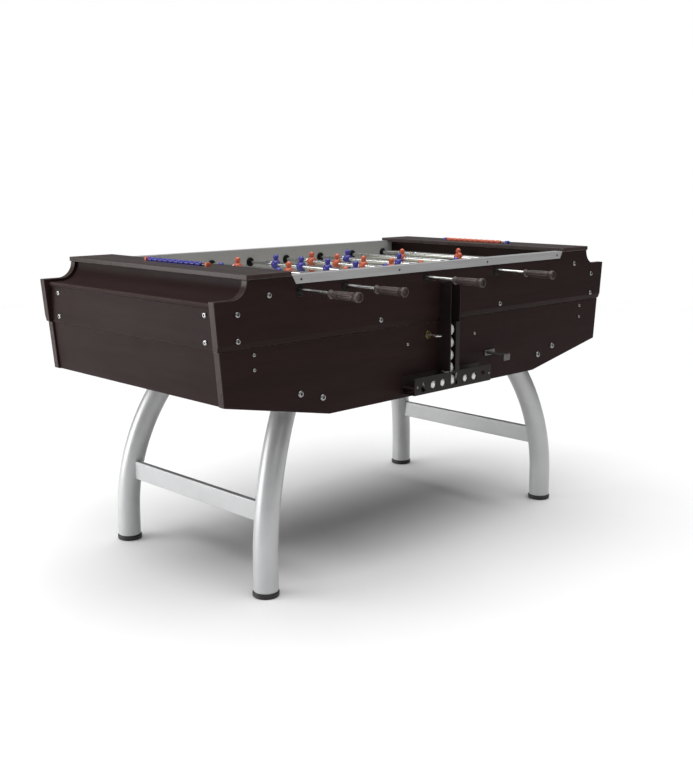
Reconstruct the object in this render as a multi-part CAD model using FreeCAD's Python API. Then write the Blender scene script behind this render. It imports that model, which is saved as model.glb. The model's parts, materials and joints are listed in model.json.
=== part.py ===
import FreeCAD, Part
import math
import os

# Foosball table with telescopic rods. Millimetres, +Z up, origin on the floor under the
# middle of the table. X runs along the table, from goal to goal. The long side with the ball
# channel and the coin slide faces -Y. The table is an upper playing box that is hinged at the
# back on a lower cabinet, and the cabinet stands on four bent tube legs.

Vec = FreeCAD.Vector
Z_AXIS = Vec(0, 0, 1)
Y_AXIS = Vec(0, 1, 0)

# ---------------------------------------------------------------- driving dimensions
ROD_PITCH = 150.0            # between neighbouring rods
ROD_Z = 763.0                # height of the rod axes
PLAY_Z = 685.0               # top of the playing surface
FIELD_HALF_X = 573.0         # playing field, middle to goal wall
FIELD_HALF_Y = 350.0         # playing field, middle to side liner

SEAM_Z = 642.5               # where the playing box rests on the cabinet
SEAM_GAP = 0.5
BOARD = 20.0                 # side boards
END_BOARD = 18.0             # end and floor boards
LINER = 6.5                  # light liner inside each long side
UPPER_HALF_Y = 376.5
LOWER_HALF_Y = 371.5
STEP = UPPER_HALF_Y - LOWER_HALF_Y
BEVEL_RISE = 14.5            # height of the slope along the upper side's bottom edge

END_LEAN = 0.0902            # the ends lean out by this much per unit of height
LEDGE_Z = 756.7              # top of the upper sides, past the caps
LEDGE_X = 780.4              # their outermost corner
UPPER_SEAM_X = LEDGE_X - (LEDGE_Z - SEAM_Z) * END_LEAN
LOWER_SEAM_X = UPPER_SEAM_X - STEP
LOWER_END_Z = 513.8          # bottom corner at the ends
LOWER_END_X = LOWER_SEAM_X - (SEAM_Z - LOWER_END_Z) * END_LEAN
KNEE_X = 425.0               # flat bottom between the knees
KNEE_Z = 450.4
UPPER_END_X = 760.5          # outer face of the playing box's upright end boards
LOWER_END_INSET = 6.0        # the cabinet's end boards stand back from the sides' edges

CAP_TOP = 810.7
CAP_T = 12.0
CAP_BASE = CAP_TOP - CAP_T
CAP_IN_X = 552.0
CAP_OUT_X = 687.7
CAP_HALF_Y = 378.5
COVE_X = 727.0               # centre of the cove arcs, at the cap's underside
SIDE_COVE_R = 42.0
COVE_R = 50.0
COVE_T = 6.0
COVE_FOOT_Z = CAP_BASE - COVE_R

TRIM_T = 1.5                 # aluminium edge trim between the caps
TRIM_TOP = 801.5
TRIM_BASE = 780.5
TRIM_TOP_X = 550.3
TRIM_BASE_X = 538.1

GOAL_HALF_Y = 112.0
GOAL_TOP = 753.0
GOAL_WALL_T = 12.0
GOAL_WALL_TOP = 767.0

BALL_D = 34.5
FAR = 900.0                  # past every part, for cutting shapes

# ---------------------------------------------------------------- small helpers
PARTS = {}


def keep(name, *solids):
    """File one sub-part under its node name, as a solid or a group of solids."""
    PARTS[name] = solids[0] if len(solids) == 1 else Part.makeCompound(list(solids))


def box(x0, x1, y0, y1, z0, z1):
    return Part.makeBox(x1 - x0, y1 - y0, z1 - z0, Vec(x0, y0, z0))


def rod_y(radius, y0, y1, x=0.0, z=0.0):
    """Round bar along Y."""
    return Part.makeCylinder(radius, y1 - y0, Vec(x, y0, z), Y_AXIS)


def slab(points, y0, y1):
    """Straight-sided outline in XZ, extruded from y0 to y1."""
    corners = [Vec(x, y0, z) for x, z in points]
    face = Part.Face(Part.makePolygon(corners + corners[:1]))
    return face.extrude(Vec(0, y1 - y0, 0))


def flip_x(shape):
    return shape.mirror(Vec(0, 0, 0), Vec(1, 0, 0))


def flip_y(shape):
    return shape.mirror(Vec(0, 0, 0), Vec(0, 1, 0))


def fuse(first, *others):
    return first.multiFuse(list(others)).removeSplitter()


def spun(points, x=0.0, z=0.0):
    """Turned piece about an axis along Y: points are (radius, y)."""
    corners = [Vec(x + r, y, z) for r, y in points]
    face = Part.Face(Part.makePolygon(corners + corners[:1]))
    return face.revolve(Vec(x, 0, z), Y_AXIS, 360)


def shell_of(shape):
    """The one solid of a boolean result."""
    return shape.Solids[0] if len(shape.Solids) == 1 else shape


# ---------------------------------------------------------------- rods: what sits on each
# men, spacing, side of the handle (-1 front, +1 back), how far the rod stands pulled out at rest
RODS = {
    1: (1, 0.0, -1, 7.0),
    2: (2, 240.0, -1, 8.0),
    3: (3, 225.0, 1, 0.0),
    4: (5, 113.5, -1, 0.0),
    5: (5, 113.5, 1, 2.0),
    6: (3, 225.0, -1, 4.0),
    7: (2, 240.0, 1, 0.0),
    8: (1, 0.0, 1, 8.0),
}
TUBE_R = 6.5
INNER_R = 4.5
RUNNING = 0.05               # radial play of a running fit
BEARING_R = 14.0
BUSH_R = 12.0
BUSH_FLANGE = 5.0
COLLAR_T = 2.0
BLIND_DEPTH = 20.0           # depth of the plain side's blind bearing hole


def rod_x(number):
    return (number - 4.5) * ROD_PITCH


def has_handle(number, side):
    return RODS[number][2] == side


# ---------------------------------------------------------------- upper playing box
def upper_side():
    """Front side board of the playing box, with its coved ends and rod holes."""
    y0 = -UPPER_HALF_Y
    y1 = y0 + BOARD
    top = TRIM_TOP - TRIM_T
    half = [
        (0.0, SEAM_Z),
        (UPPER_SEAM_X, SEAM_Z),
        (LEDGE_X, LEDGE_Z),
        (COVE_X - SIDE_COVE_R, LEDGE_Z),
        (COVE_X - SIDE_COVE_R, CAP_BASE),
        (CAP_IN_X, CAP_BASE),
        (CAP_IN_X, top),
        (0.0, top),
    ]
    outline = half + [(-x, z) for x, z in reversed(half[1:-1])]
    board = slab(outline, y0, y1)
    for sign in (1, -1):
        corner = box(COVE_X - SIDE_COVE_R, COVE_X, y0, y1, LEDGE_Z, CAP_BASE)
        hollow = rod_y(SIDE_COVE_R, y0, y1, COVE_X, CAP_BASE)
        fillet = corner.cut(hollow)
        board = board.fuse(fillet if sign > 0 else flip_x(fillet))
    board = board.removeSplitter()
    corners = [Vec(-FAR, y0, SEAM_Z), Vec(-FAR, y0 + STEP, SEAM_Z),
               Vec(-FAR, y0, SEAM_Z + BEVEL_RISE)]
    wedge = Part.Face(Part.makePolygon(corners + corners[:1]))
    return board.cut(wedge.extrude(Vec(2 * FAR, 0, 0)))


def drilled(board, side, y_out, y_in):
    """Bearing holes: right through on a handle's side, blind on the plain side."""
    for number in RODS:
        x = rod_x(number)
        if has_handle(number, side):
            hole = rod_y(BUSH_R, min(y_out, y_in), max(y_out, y_in), x, ROD_Z)
        else:
            deep = side * (FIELD_HALF_Y + BLIND_DEPTH)
            hole = rod_y(BUSH_R, min(deep, y_in), max(deep, y_in), x, ROD_Z)
        board = board.cut(hole)
    return shell_of(board)


front_side = upper_side()
rear_side = flip_y(front_side)
side_in_y = UPPER_HALF_Y - BOARD
keep("upper_sides",
     drilled(front_side, -1, -UPPER_HALF_Y - 1, -side_in_y),
     drilled(rear_side, 1, UPPER_HALF_Y + 1, side_in_y))


def leaning_board(z0, z1):
    """Cabinet end board on the +X end, parallel to the leaning edges of the side boards."""
    low = LOWER_SEAM_X + (z0 - SEAM_Z) * END_LEAN - LOWER_END_INSET
    high = LOWER_SEAM_X + (z1 - SEAM_Z) * END_LEAN - LOWER_END_INSET
    return [(low - END_BOARD, z0), (low, z0), (high, z1), (high - END_BOARD, z1)]


ledge_base = COVE_FOOT_Z - COVE_T
NOSE_R = 6.0
upper_end = box(UPPER_END_X - END_BOARD, UPPER_END_X, -side_in_y, side_in_y, SEAM_Z, ledge_base)
nosing = rod_y(NOSE_R, -side_in_y, side_in_y, UPPER_END_X, ledge_base)
nosing = nosing.cut(box(0, UPPER_END_X - 1, -FAR, FAR, 0, FAR))
upper_end = fuse(upper_end, nosing.cut(box(0, UPPER_END_X, -FAR, FAR, ledge_base, FAR)))
keep("upper_ends", upper_end, flip_x(upper_end))


def cove_panel():
    """Curved sheet from under the cap down to the ledge behind the end board's nosing."""
    ring = rod_y(COVE_R + COVE_T, -side_in_y, side_in_y, COVE_X, CAP_BASE)
    ring = ring.cut(rod_y(COVE_R, -FAR, FAR, COVE_X, CAP_BASE))
    quarter = ring.common(box(0, COVE_X, -FAR, FAR, 0, CAP_BASE))
    ledge = box(COVE_X, UPPER_END_X, -side_in_y, side_in_y, ledge_base, COVE_FOOT_Z)
    return fuse(quarter, ledge)


cove = cove_panel()
RAIL_T = 18.0
rail = box(FIELD_HALF_X, FIELD_HALF_X + RAIL_T, -FIELD_HALF_Y, FIELD_HALF_Y,
           GOAL_WALL_TOP, CAP_BASE)
keep("cove_panels", cove, flip_x(cove), rail, flip_x(rail))

BEAD_R = 6.0
BEAD_Z = CAP_TOP + 3.0
BEAD_ROW_X = 605.0
GROOVE_HALF_X = 8.0
GROOVE_HALF_Y = 134.0
GROOVE_DEPTH = 4.5
cap = box(CAP_IN_X, CAP_OUT_X, -CAP_HALF_Y, CAP_HALF_Y, CAP_BASE, CAP_TOP)
CAP_CORNER_R = 1.5
upright = [edge for edge in cap.Edges if edge.BoundBox.ZLength > CAP_T / 2]
cap = cap.makeFillet(CAP_CORNER_R, upright)
cap = cap.cut(box(BEAD_ROW_X - GROOVE_HALF_X, BEAD_ROW_X + GROOVE_HALF_X,
                  -GROOVE_HALF_Y, GROOVE_HALF_Y, CAP_TOP - GROOVE_DEPTH, CAP_TOP + 1))
keep("end_caps", cap, flip_x(cap))

LINER_BASE = 660.0
liner_top = TRIM_TOP - TRIM_T
front_liner = box(-CAP_IN_X, CAP_IN_X, -side_in_y, -FIELD_HALF_Y, LINER_BASE, liner_top)
liner_ends = box(-FIELD_HALF_X, FIELD_HALF_X, -side_in_y, -FIELD_HALF_Y, LINER_BASE, CAP_BASE)
front_liner = fuse(front_liner, liner_ends)
rear_liner = flip_y(front_liner)
goal_wall = box(FIELD_HALF_X, FIELD_HALF_X + GOAL_WALL_T, -FIELD_HALF_Y, FIELD_HALF_Y,
                LINER_BASE, GOAL_WALL_TOP)
goal_wall = goal_wall.cut(box(0, FAR, -GOAL_HALF_Y, GOAL_HALF_Y, PLAY_Z, GOAL_TOP))
keep("inner_walls",
     drilled(front_liner, -1, -side_in_y - 1, -FIELD_HALF_Y + 1),
     drilled(rear_liner, 1, side_in_y + 1, FIELD_HALF_Y - 1),
     goal_wall, flip_x(goal_wall))

PLAY_T = 12.0
keep("playfield", box(-FIELD_HALF_X, FIELD_HALF_X, -FIELD_HALF_Y, FIELD_HALF_Y,
                      PLAY_Z - PLAY_T, PLAY_Z))


def side_trim():
    """Bent aluminium strip over the front side's top edge, cut on a slant at its ends."""
    y_out = -UPPER_HALF_Y - TRIM_T
    face = slab([(-TRIM_BASE_X, TRIM_BASE), (TRIM_BASE_X, TRIM_BASE),
                 (TRIM_TOP_X, TRIM_TOP), (-TRIM_TOP_X, TRIM_TOP)], y_out, -UPPER_HALF_Y)
    top = box(-TRIM_TOP_X, TRIM_TOP_X, y_out, -FIELD_HALF_Y, TRIM_TOP - TRIM_T, TRIM_TOP)
    return fuse(face, top)


trim = side_trim()
keep("side_trims", trim, flip_y(trim))


def bearing(number, side):
    """Nylon rod bearing: a round flange in the field and a bush through the wall."""
    x = rod_x(number)
    inner = FIELD_HALF_Y - BUSH_FLANGE
    if has_handle(number, side):
        bore = TUBE_R + RUNNING
        profile = [(bore, inner), (BEARING_R, inner), (BEARING_R, FIELD_HALF_Y),
                   (BUSH_R, FIELD_HALF_Y), (BUSH_R, UPPER_HALF_Y), (BEARING_R, UPPER_HALF_Y),
                   (BEARING_R - 1, UPPER_HALF_Y + COLLAR_T), (bore, UPPER_HALF_Y + COLLAR_T)]
    else:
        bore = INNER_R + RUNNING
        end = FIELD_HALF_Y + BLIND_DEPTH
        profile = [(bore, inner), (BEARING_R, inner), (BEARING_R, FIELD_HALF_Y),
                   (BUSH_R, FIELD_HALF_Y), (BUSH_R, end), (bore, end)]
    ring = spun(profile, x, ROD_Z)
    return ring if side > 0 else flip_y(ring)


keep("rod_bearings", *[bearing(n, side) for side in (-1, 1) for n in RODS])

# ---------------------------------------------------------------- score counters on the caps
WIRE_R = 1.5
BEADS = 10
BEAD_PITCH = 22.8
BEAD_GAP = 0.4
BEAD_TAPER = (4.0, 1.5)      # length along the wire, and depth
POST = (14.0, 10.0, 13.0)    # along X, along Y, height above the groove floor
post_y = GROOVE_HALF_Y - POST[1]
groove_z = CAP_TOP - GROOVE_DEPTH
first_bead_y = post_y - 0.5


def score_row():
    """Wire between two posts, and the beads pushed to its back end."""
    wire = rod_y(WIRE_R, -post_y - 2, post_y + 2, BEAD_ROW_X, BEAD_Z)
    pieces = [wire]
    for sign in (1, -1):
        near = min(sign * post_y, sign * (post_y + POST[1]))
        post = box(BEAD_ROW_X - POST[0] / 2, BEAD_ROW_X + POST[0] / 2,
                   near, near + POST[1], groove_z, groove_z + POST[2])
        pieces.append(post)
    rail_piece = fuse(*pieces)
    beads = []
    for i in range(BEADS):
        y1 = first_bead_y - i * BEAD_PITCH
        y0 = y1 - BEAD_PITCH + BEAD_GAP
        hole = WIRE_R + RUNNING
        reach, neck = BEAD_TAPER[0], BEAD_R - BEAD_TAPER[1]
        beads.append(spun([(hole, y0), (neck, y0), (BEAD_R, y0 + reach), (BEAD_R, y1 - reach),
                           (neck, y1), (hole, y1)], BEAD_ROW_X, BEAD_Z))
    return rail_piece, beads


rail_right, beads_right = score_row()
keep("score_rails", flip_x(rail_right), rail_right)
keep("score_beads_left", *[flip_x(b) for b in beads_right])
keep("score_beads_right", *beads_right)

# ---------------------------------------------------------------- lower cabinet
lower_top = SEAM_Z - SEAM_GAP
lower_half = [(0.0, KNEE_Z), (KNEE_X, KNEE_Z), (LOWER_END_X, LOWER_END_Z),
              (LOWER_SEAM_X, lower_top), (0.0, lower_top)]
lower_outline = lower_half + [(-x, z) for x, z in reversed(lower_half[1:-1])]
lower_in_y = LOWER_HALF_Y - BOARD
lower_front = slab(lower_outline, -LOWER_HALF_Y, -lower_in_y)

COIN_X = 208.0
COIN_Z = 529.0
COIN_SLOT = (28.0, 8.0)
LOCK_X = -58.0
LOCK_Z = 609.5
LOCK_R = 7.0
LOCK_WALL = 2.0


def around_coin(half_x, half_z, y0, y1):
    """Block round the coin slide's middle line."""
    return box(COIN_X - half_x, COIN_X + half_x, y0, y1, COIN_Z - half_z, COIN_Z + half_z)


lower_front = lower_front.cut(around_coin(COIN_SLOT[0] / 2, COIN_SLOT[1] / 2, -FAR, 0))
lower_front = lower_front.cut(rod_y(LOCK_R + LOCK_WALL, -FAR, 0, LOCK_X, LOCK_Z))
lower_rear = slab(lower_outline, lower_in_y, LOWER_HALF_Y)
keep("lower_sides", lower_front, lower_rear)

FLOOR_LIFT = 5.0             # the floor stands this far above the sides' lower edge
END_SHOW = 0.7               # the end board stops this far above the same edge
slope = (LOWER_END_Z - KNEE_Z) / (LOWER_END_X - KNEE_X)
floor_z = KNEE_Z + FLOOR_LIFT
end_base = LOWER_END_Z - LOWER_END_INSET * slope + END_SHOW
lower_end_points = leaning_board(end_base, lower_top)
lower_end = slab(lower_end_points, -lower_in_y, lower_in_y)
slope_end_x = lower_end_points[0][0]
slope_end_z = floor_z + (slope_end_x - KNEE_X) * slope
floor_slope = slab([(KNEE_X, floor_z), (slope_end_x, slope_end_z),
                    (slope_end_x + END_BOARD * END_LEAN, slope_end_z + END_BOARD),
                    (KNEE_X, floor_z + END_BOARD)],
                   -lower_in_y, lower_in_y)
floor_middle = box(-KNEE_X, KNEE_X, -lower_in_y, lower_in_y, floor_z, floor_z + END_BOARD)
keep("lower_boards", floor_middle, floor_slope, flip_x(floor_slope),
     lower_end, flip_x(lower_end))


def gutter(x0, x1, z0, z1):
    """Sloped wooden trough for the balls, from under a goal towards the middle."""
    wall, half, tall, base = 6.0, 30.0, 34.0, 6.0
    floor = slab([(x0, z0), (x1, z1), (x1, z1 + base), (x0, z0 + base)], -half, half)
    cheek = slab([(x0, z0), (x1, z1), (x1, z1 + tall), (x0, z0 + tall)], half, half + wall)
    return fuse(floor, cheek, flip_y(cheek))


GUTTER_END_X = 660.0
GUTTER_END_Z = 600.0
GUTTER_MIDDLE_X = 40.0
GUTTER_MIDDLE_Z = 520.0
goal_gutter = gutter(GUTTER_MIDDLE_X, GUTTER_END_X, GUTTER_MIDDLE_Z, GUTTER_END_Z)
CHUTE_WALL = 6.0             # the chute that takes the balls to the front
CHUTE_BACK = 36.0
CHUTE_BASE = 496.0
CHUTE_TOP = 540.0
CHUTE_LEG = 20.0
chute_floor = CHUTE_BASE + CHUTE_WALL
chute = box(-GUTTER_MIDDLE_X, GUTTER_MIDDLE_X, -lower_in_y, CHUTE_BACK, CHUTE_BASE, chute_floor)
cheek = box(GUTTER_MIDDLE_X - CHUTE_WALL, GUTTER_MIDDLE_X, -lower_in_y, -CHUTE_BACK,
            chute_floor, CHUTE_TOP)
chute_back = box(-GUTTER_MIDDLE_X, GUTTER_MIDDLE_X, CHUTE_BACK - CHUTE_WALL, CHUTE_BACK,
                 chute_floor, CHUTE_TOP)
chute_leg = box(-CHUTE_LEG, CHUTE_LEG, -CHUTE_LEG, CHUTE_LEG, floor_z + END_BOARD, CHUTE_BASE)
keep("ball_gutter", goal_gutter, flip_x(goal_gutter),
     fuse(chute, cheek, flip_x(cheek), chute_back, chute_leg))

# ---------------------------------------------------------------- legs
LEG_R = 31.75
LEG_WALL = 3.0
LEG_X = 581.0
LEG_Y = 302.4
FOOT_H = 14.0
FOOT_R = 34.0
BEND_Z = 80.0                # straight below this height
BEND_R = 656.0
BEND_SIDE = math.radians(23.3)   # the bend leans inwards, mostly along the table
BEND_TURN = math.radians(44.0)
FLANGE = 50.0                # half side of the square mounting plate
FLANGE_SHIFT = 8.0           # the plate stands this far out from the tube's end
FLANGE_T = 6.0
LEG_SEAT_Z = 478.0           # where the tube's middle line meets the plate
tilt = math.degrees(math.atan(slope))


def leg_point(turn):
    """Point of the bent stretch, for the leg at +X +Y."""
    inward = BEND_R * (1 - math.cos(turn))
    return Vec(LEG_X - inward * math.cos(BEND_SIDE), LEG_Y - inward * math.sin(BEND_SIDE),
               BEND_Z + BEND_R * math.sin(turn))


def bent_bar(radius, z_from):
    start = Vec(LEG_X, LEG_Y, z_from)
    spine = Part.Wire([
        Part.LineSegment(start, leg_point(0.0)).toShape(),
        Part.Arc(leg_point(0.0), leg_point(BEND_TURN / 2), leg_point(BEND_TURN)).toShape()])
    profile = Part.Wire([Part.Circle(start, Z_AXIS, radius).toShape()])
    return spine.makePipeShell([profile], True, True)


def under_floor(lift):
    """Big block that lies above the sloped floor's underside plus lift."""
    block = Part.makeBox(FAR, FAR, FAR, Vec(-100, -FAR / 2, 0))
    block.rotate(Vec(0, 0, 0), Y_AXIS, -tilt)
    block.translate(Vec(KNEE_X, 0, floor_z + lift))
    return block


def leg():
    outer = bent_bar(LEG_R, FOOT_H)
    tube = outer.cut(bent_bar(LEG_R - LEG_WALL, FOOT_H))
    tube = tube.cut(under_floor(-FLANGE_T))
    top_turn = math.asin((LEG_SEAT_Z - BEND_Z) / BEND_R)
    seat = leg_point(top_turn)
    plate = Part.makeBox(2 * FLANGE, 2 * FLANGE, FLANGE_T, Vec(-FLANGE, -FLANGE, -FLANGE_T))
    plate.rotate(Vec(0, 0, 0), Y_AXIS, -tilt)
    plate_x = seat.x + FLANGE_SHIFT
    plate.translate(Vec(plate_x, seat.y, floor_z + (plate_x - KNEE_X) * slope))
    return fuse(tube, plate), outer


one_leg, leg_core = leg()
keep("legs", *[flip_y(s) if front else s
               for front in (True, False) for s in (flip_x(one_leg), one_leg)])

BAR_H = 52.0
BAR_T = 16.0
BAR_Z = 208.0
bar_in = BEND_R - math.sqrt(BEND_R ** 2 - (BAR_Z - BEND_Z) ** 2)
bar_x = LEG_X - bar_in * math.cos(BEND_SIDE)
bar = box(bar_x - BAR_T / 2, bar_x + BAR_T / 2, -LEG_Y, LEG_Y, BAR_Z - BAR_H / 2, BAR_Z + BAR_H / 2)
BAR_CORNER_R = 3.0
bar = bar.makeFillet(BAR_CORNER_R, [edge for edge in bar.Edges if edge.BoundBox.YLength > LEG_Y])
bar = bar.cut(leg_core).cut(flip_y(leg_core))
bar = max(bar.Solids, key=lambda s: s.Volume)
keep("crossbars", flip_x(bar), bar)

FOOT_PLUG_R = LEG_R - LEG_WALL
foot = Part.makeCylinder(FOOT_R, FOOT_H, Vec(LEG_X, LEG_Y, 0))
FOOT_CORNER_R = 2.0
FOOT_PLUG_H = 25.0           # the plug inside the tube
foot = foot.makeFillet(FOOT_CORNER_R, [edge for edge in foot.Edges if edge.BoundBox.ZLength < 1])
foot = fuse(foot, Part.makeCylinder(FOOT_PLUG_R, FOOT_PLUG_H, Vec(LEG_X, LEG_Y, FOOT_H)))
keep("foot_caps", *[flip_y(s) if front else s
                    for front in (True, False) for s in (flip_x(foot), foot)])

# ---------------------------------------------------------------- ball channel and tray
CHANNEL_HALF_X = 20.0
CHANNEL_WALL = 2.0
CHANNEL_FRONT = -416.5
CHANNEL_TOP = 747.0
CHANNEL_BACK = -UPPER_HALF_Y - 0.8
TRAY_HALF_X = 160.5
TRAY_TOP = 508.0
TRAY_SHELF = 464.0
TRAY_T = 2.0
channel_base = TRAY_TOP + 0.5
channel_step = SEAM_Z - SEAM_GAP - CHANNEL_WALL   # the back steps out here, round the playing box
LEFT_LIP = 4.0
RIGHT_LIP = 16.0
LIP_T = 1.5


def channel_box(x0, x1, y0, y1, z0, z1=CHANNEL_TOP):
    return box(x0, x1, y0, y1, z0, z1)


back_high = channel_box(-CHANNEL_HALF_X, CHANNEL_HALF_X, CHANNEL_BACK - CHANNEL_WALL, CHANNEL_BACK,
                        channel_step)
back_low = channel_box(-CHANNEL_HALF_X, CHANNEL_HALF_X, -LOWER_HALF_Y - CHANNEL_WALL,
                       -LOWER_HALF_Y, channel_base, channel_step)
back_step = channel_box(-CHANNEL_HALF_X, CHANNEL_HALF_X, CHANNEL_BACK - CHANNEL_WALL,
                        -LOWER_HALF_Y, channel_step, channel_step + CHANNEL_WALL)
wall_high = channel_box(-CHANNEL_HALF_X, -CHANNEL_HALF_X + CHANNEL_WALL, CHANNEL_FRONT,
                        CHANNEL_BACK, channel_base)
wall_low = channel_box(-CHANNEL_HALF_X, -CHANNEL_HALF_X + CHANNEL_WALL, CHANNEL_BACK,
                       -LOWER_HALF_Y, channel_base, channel_step + CHANNEL_WALL)
side_wall = fuse(wall_high, wall_low)
left_lip = channel_box(-CHANNEL_HALF_X, -CHANNEL_HALF_X + LEFT_LIP, CHANNEL_FRONT,
                       CHANNEL_FRONT + LIP_T, channel_base, SEAM_Z)
right_lip = channel_box(CHANNEL_HALF_X - RIGHT_LIP, CHANNEL_HALF_X, CHANNEL_FRONT,
                        CHANNEL_FRONT + LIP_T, channel_base, SEAM_Z)
keep("ball_channel", fuse(back_high, back_low, back_step, side_wall, flip_x(side_wall),
                          left_lip, right_lip))

HOLE_XS = (-86.0, -47.3, 47.3, 86.0)
HOLE_Z = 483.0
HOLE_R = 10.2
WINDOWS = ((-13.5, 2.0), (4.0, 13.5))     # from left to right edge, either side of a bar
WINDOW_Z = (471.0, 503.0)
NOTCH_R = 5.0
ROUND_HOLE = (125.0, 488.0, 7.5)          # x, z, radius
KEYHOLE = (-126.0, 477.0, 9.0)
KEYHOLE_NECK = ((8.6, 479.5), (1.5, 494.0))   # half width and height, base and top
TAB_X = (6.0, 12.0)                       # out past the tray's end, and in behind it
TAB_Z = (480.5, 482.5)
tray_back = -LOWER_HALF_Y
tray_base = TRAY_SHELF - TRAY_T


def tray_box(y0, y1, z0, z1):
    """Sheet over the tray's full length."""
    return box(-TRAY_HALF_X, TRAY_HALF_X, y0, y1, z0, z1)


def pierced(sheet, radius, x, z):
    return sheet.cut(rod_y(radius, -FAR, 0, x, z))


plate = tray_box(CHANNEL_FRONT, CHANNEL_FRONT + TRAY_T, tray_base, TRAY_TOP)
for x in HOLE_XS:
    plate = pierced(plate, HOLE_R, x, HOLE_Z)
for x0, x1 in WINDOWS:
    plate = plate.cut(box(x0, x1, -FAR, 0, *WINDOW_Z))
plate = pierced(plate, NOTCH_R, 0.0, tray_base)
plate = pierced(plate, ROUND_HOLE[2], ROUND_HOLE[0], ROUND_HOLE[1])
plate = pierced(plate, KEYHOLE[2], KEYHOLE[0], KEYHOLE[1])
neck = [(KEYHOLE[0] - half, z) for half, z in KEYHOLE_NECK]
neck += [(KEYHOLE[0] + half, z) for half, z in reversed(KEYHOLE_NECK)]
plate = plate.cut(slab(neck, -FAR, 0))
shelf = tray_box(CHANNEL_FRONT, tray_back, tray_base, TRAY_SHELF)
back = tray_box(tray_back - TRAY_T, tray_back, tray_base, TRAY_TOP)
tab = box(-TRAY_HALF_X - TAB_X[0], -TRAY_HALF_X + TAB_X[1], CHANNEL_FRONT + TRAY_T, tray_back,
          *TAB_Z)
keep("ball_tray", fuse(plate, shelf, back, tab, flip_x(tab)))

ball_r = BALL_D / 2
BALL_PLAY = 0.1              # gap between resting balls and what they rest on
STACK = 5
stack_y = -LOWER_HALF_Y - CHANNEL_WALL - ball_r - 2 * BALL_PLAY
ball_z = TRAY_SHELF + ball_r + BALL_PLAY
# the shown balls stand partly in their round holes, against the lower edge
edge_drop = HOLE_R - (HOLE_Z - ball_z)
shown_y = CHANNEL_FRONT + TRAY_T + math.sqrt(ball_r ** 2 - edge_drop ** 2) + BALL_PLAY
# the lowest ball has rolled forward against the bar between the windows
first_y = CHANNEL_FRONT + TRAY_T + math.sqrt(ball_r ** 2 - WINDOWS[0][1] ** 2) + BALL_PLAY
ball_step = BALL_D + BALL_PLAY
second_z = ball_z + math.sqrt(ball_step ** 2 - (stack_y - first_y) ** 2)
places = [(0.0, first_y, ball_z)]
places += [(0.0, stack_y, second_z + i * ball_step) for i in range(STACK - 1)]
places += [(x, shown_y, ball_z) for x in HOLE_XS]
keep("balls", *[Part.makeSphere(ball_r, Vec(*place)) for place in places])

# ---------------------------------------------------------------- lock, key and coin slide
LOCK_PLATE_R = 12.3
LOCK_PLATE_T = 3.0
lock_out = -LOWER_HALF_Y - LOCK_PLATE_T
sleeve_r = LOCK_R + LOCK_WALL
plug_r = LOCK_R + RUNNING
keep("lock_cylinder", spun([(plug_r, -lower_in_y), (sleeve_r, -lower_in_y),
                            (sleeve_r, -LOWER_HALF_Y), (LOCK_PLATE_R, -LOWER_HALF_Y),
                            (LOCK_PLATE_R - 1, lock_out), (plug_r, lock_out)], LOCK_X, LOCK_Z))
KEY_T = 2.4
KEY_BOW_Y = -404.0
KEY_BOW_R = 10.5
KEY_EYE = (2.5, 4.5)         # radius, and distance out from the bow's middle
KEY_SHANK = 8.0
key_base = LOCK_Z - KEY_T / 2
plug = rod_y(LOCK_R, lock_out - 0.5, -lower_in_y, LOCK_X, LOCK_Z)
shank = box(LOCK_X - KEY_SHANK / 2, LOCK_X + KEY_SHANK / 2, KEY_BOW_Y + KEY_BOW_R / 2, lock_out,
            key_base, key_base + KEY_T)
bow = Part.makeCylinder(KEY_BOW_R, KEY_T, Vec(LOCK_X, KEY_BOW_Y, key_base))
bow = bow.cut(Part.makeCylinder(KEY_EYE[0], KEY_T, Vec(LOCK_X, KEY_BOW_Y - KEY_EYE[1], key_base)))
keep("lock_key", fuse(plug, shank, bow))

COIN_PLATE = (45.0, 16.0, 4.0)
COIN_PLATE_LIFT = 2.0        # the plate's middle above the slide's
TONGUE = (24.0, 3.0)
TONGUE_IN = -325.0
SLIDE_PLAY = 0.5
COIN_R = 9.5
COIN_SEAT_Y = -352.0
SLIDE_END = -431.0
PUSH_BLOCK = (28.0, 6.0, -14.0, 5.0)      # along X, along Y, lower and upper edge
PUSH_CORNER_R = 2.0
coin_plate = around_coin(COIN_PLATE[0] / 2, COIN_PLATE[1] / 2, -LOWER_HALF_Y - COIN_PLATE[2],
                         -LOWER_HALF_Y)
coin_plate.translate(Vec(0, 0, COIN_PLATE_LIFT))
mouth = around_coin(TONGUE[0] / 2 + SLIDE_PLAY, TONGUE[1] / 2 + SLIDE_PLAY, -FAR, 0)
keep("coin_plate", coin_plate.cut(mouth))
tongue = around_coin(TONGUE[0] / 2, TONGUE[1] / 2, SLIDE_END, TONGUE_IN)
tongue = tongue.cut(Part.makeCylinder(COIN_R, 2 * TONGUE[1],
                                      Vec(COIN_X, COIN_SEAT_Y, COIN_Z - TONGUE[1])))
push_block = box(COIN_X - PUSH_BLOCK[0] / 2, COIN_X + PUSH_BLOCK[0] / 2,
                 SLIDE_END - PUSH_BLOCK[1], SLIDE_END, COIN_Z + PUSH_BLOCK[2], COIN_Z + PUSH_BLOCK[3])
push_block = push_block.makeFillet(PUSH_CORNER_R, push_block.Edges)
keep("coin_slide", fuse(tongue, push_block))

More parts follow.
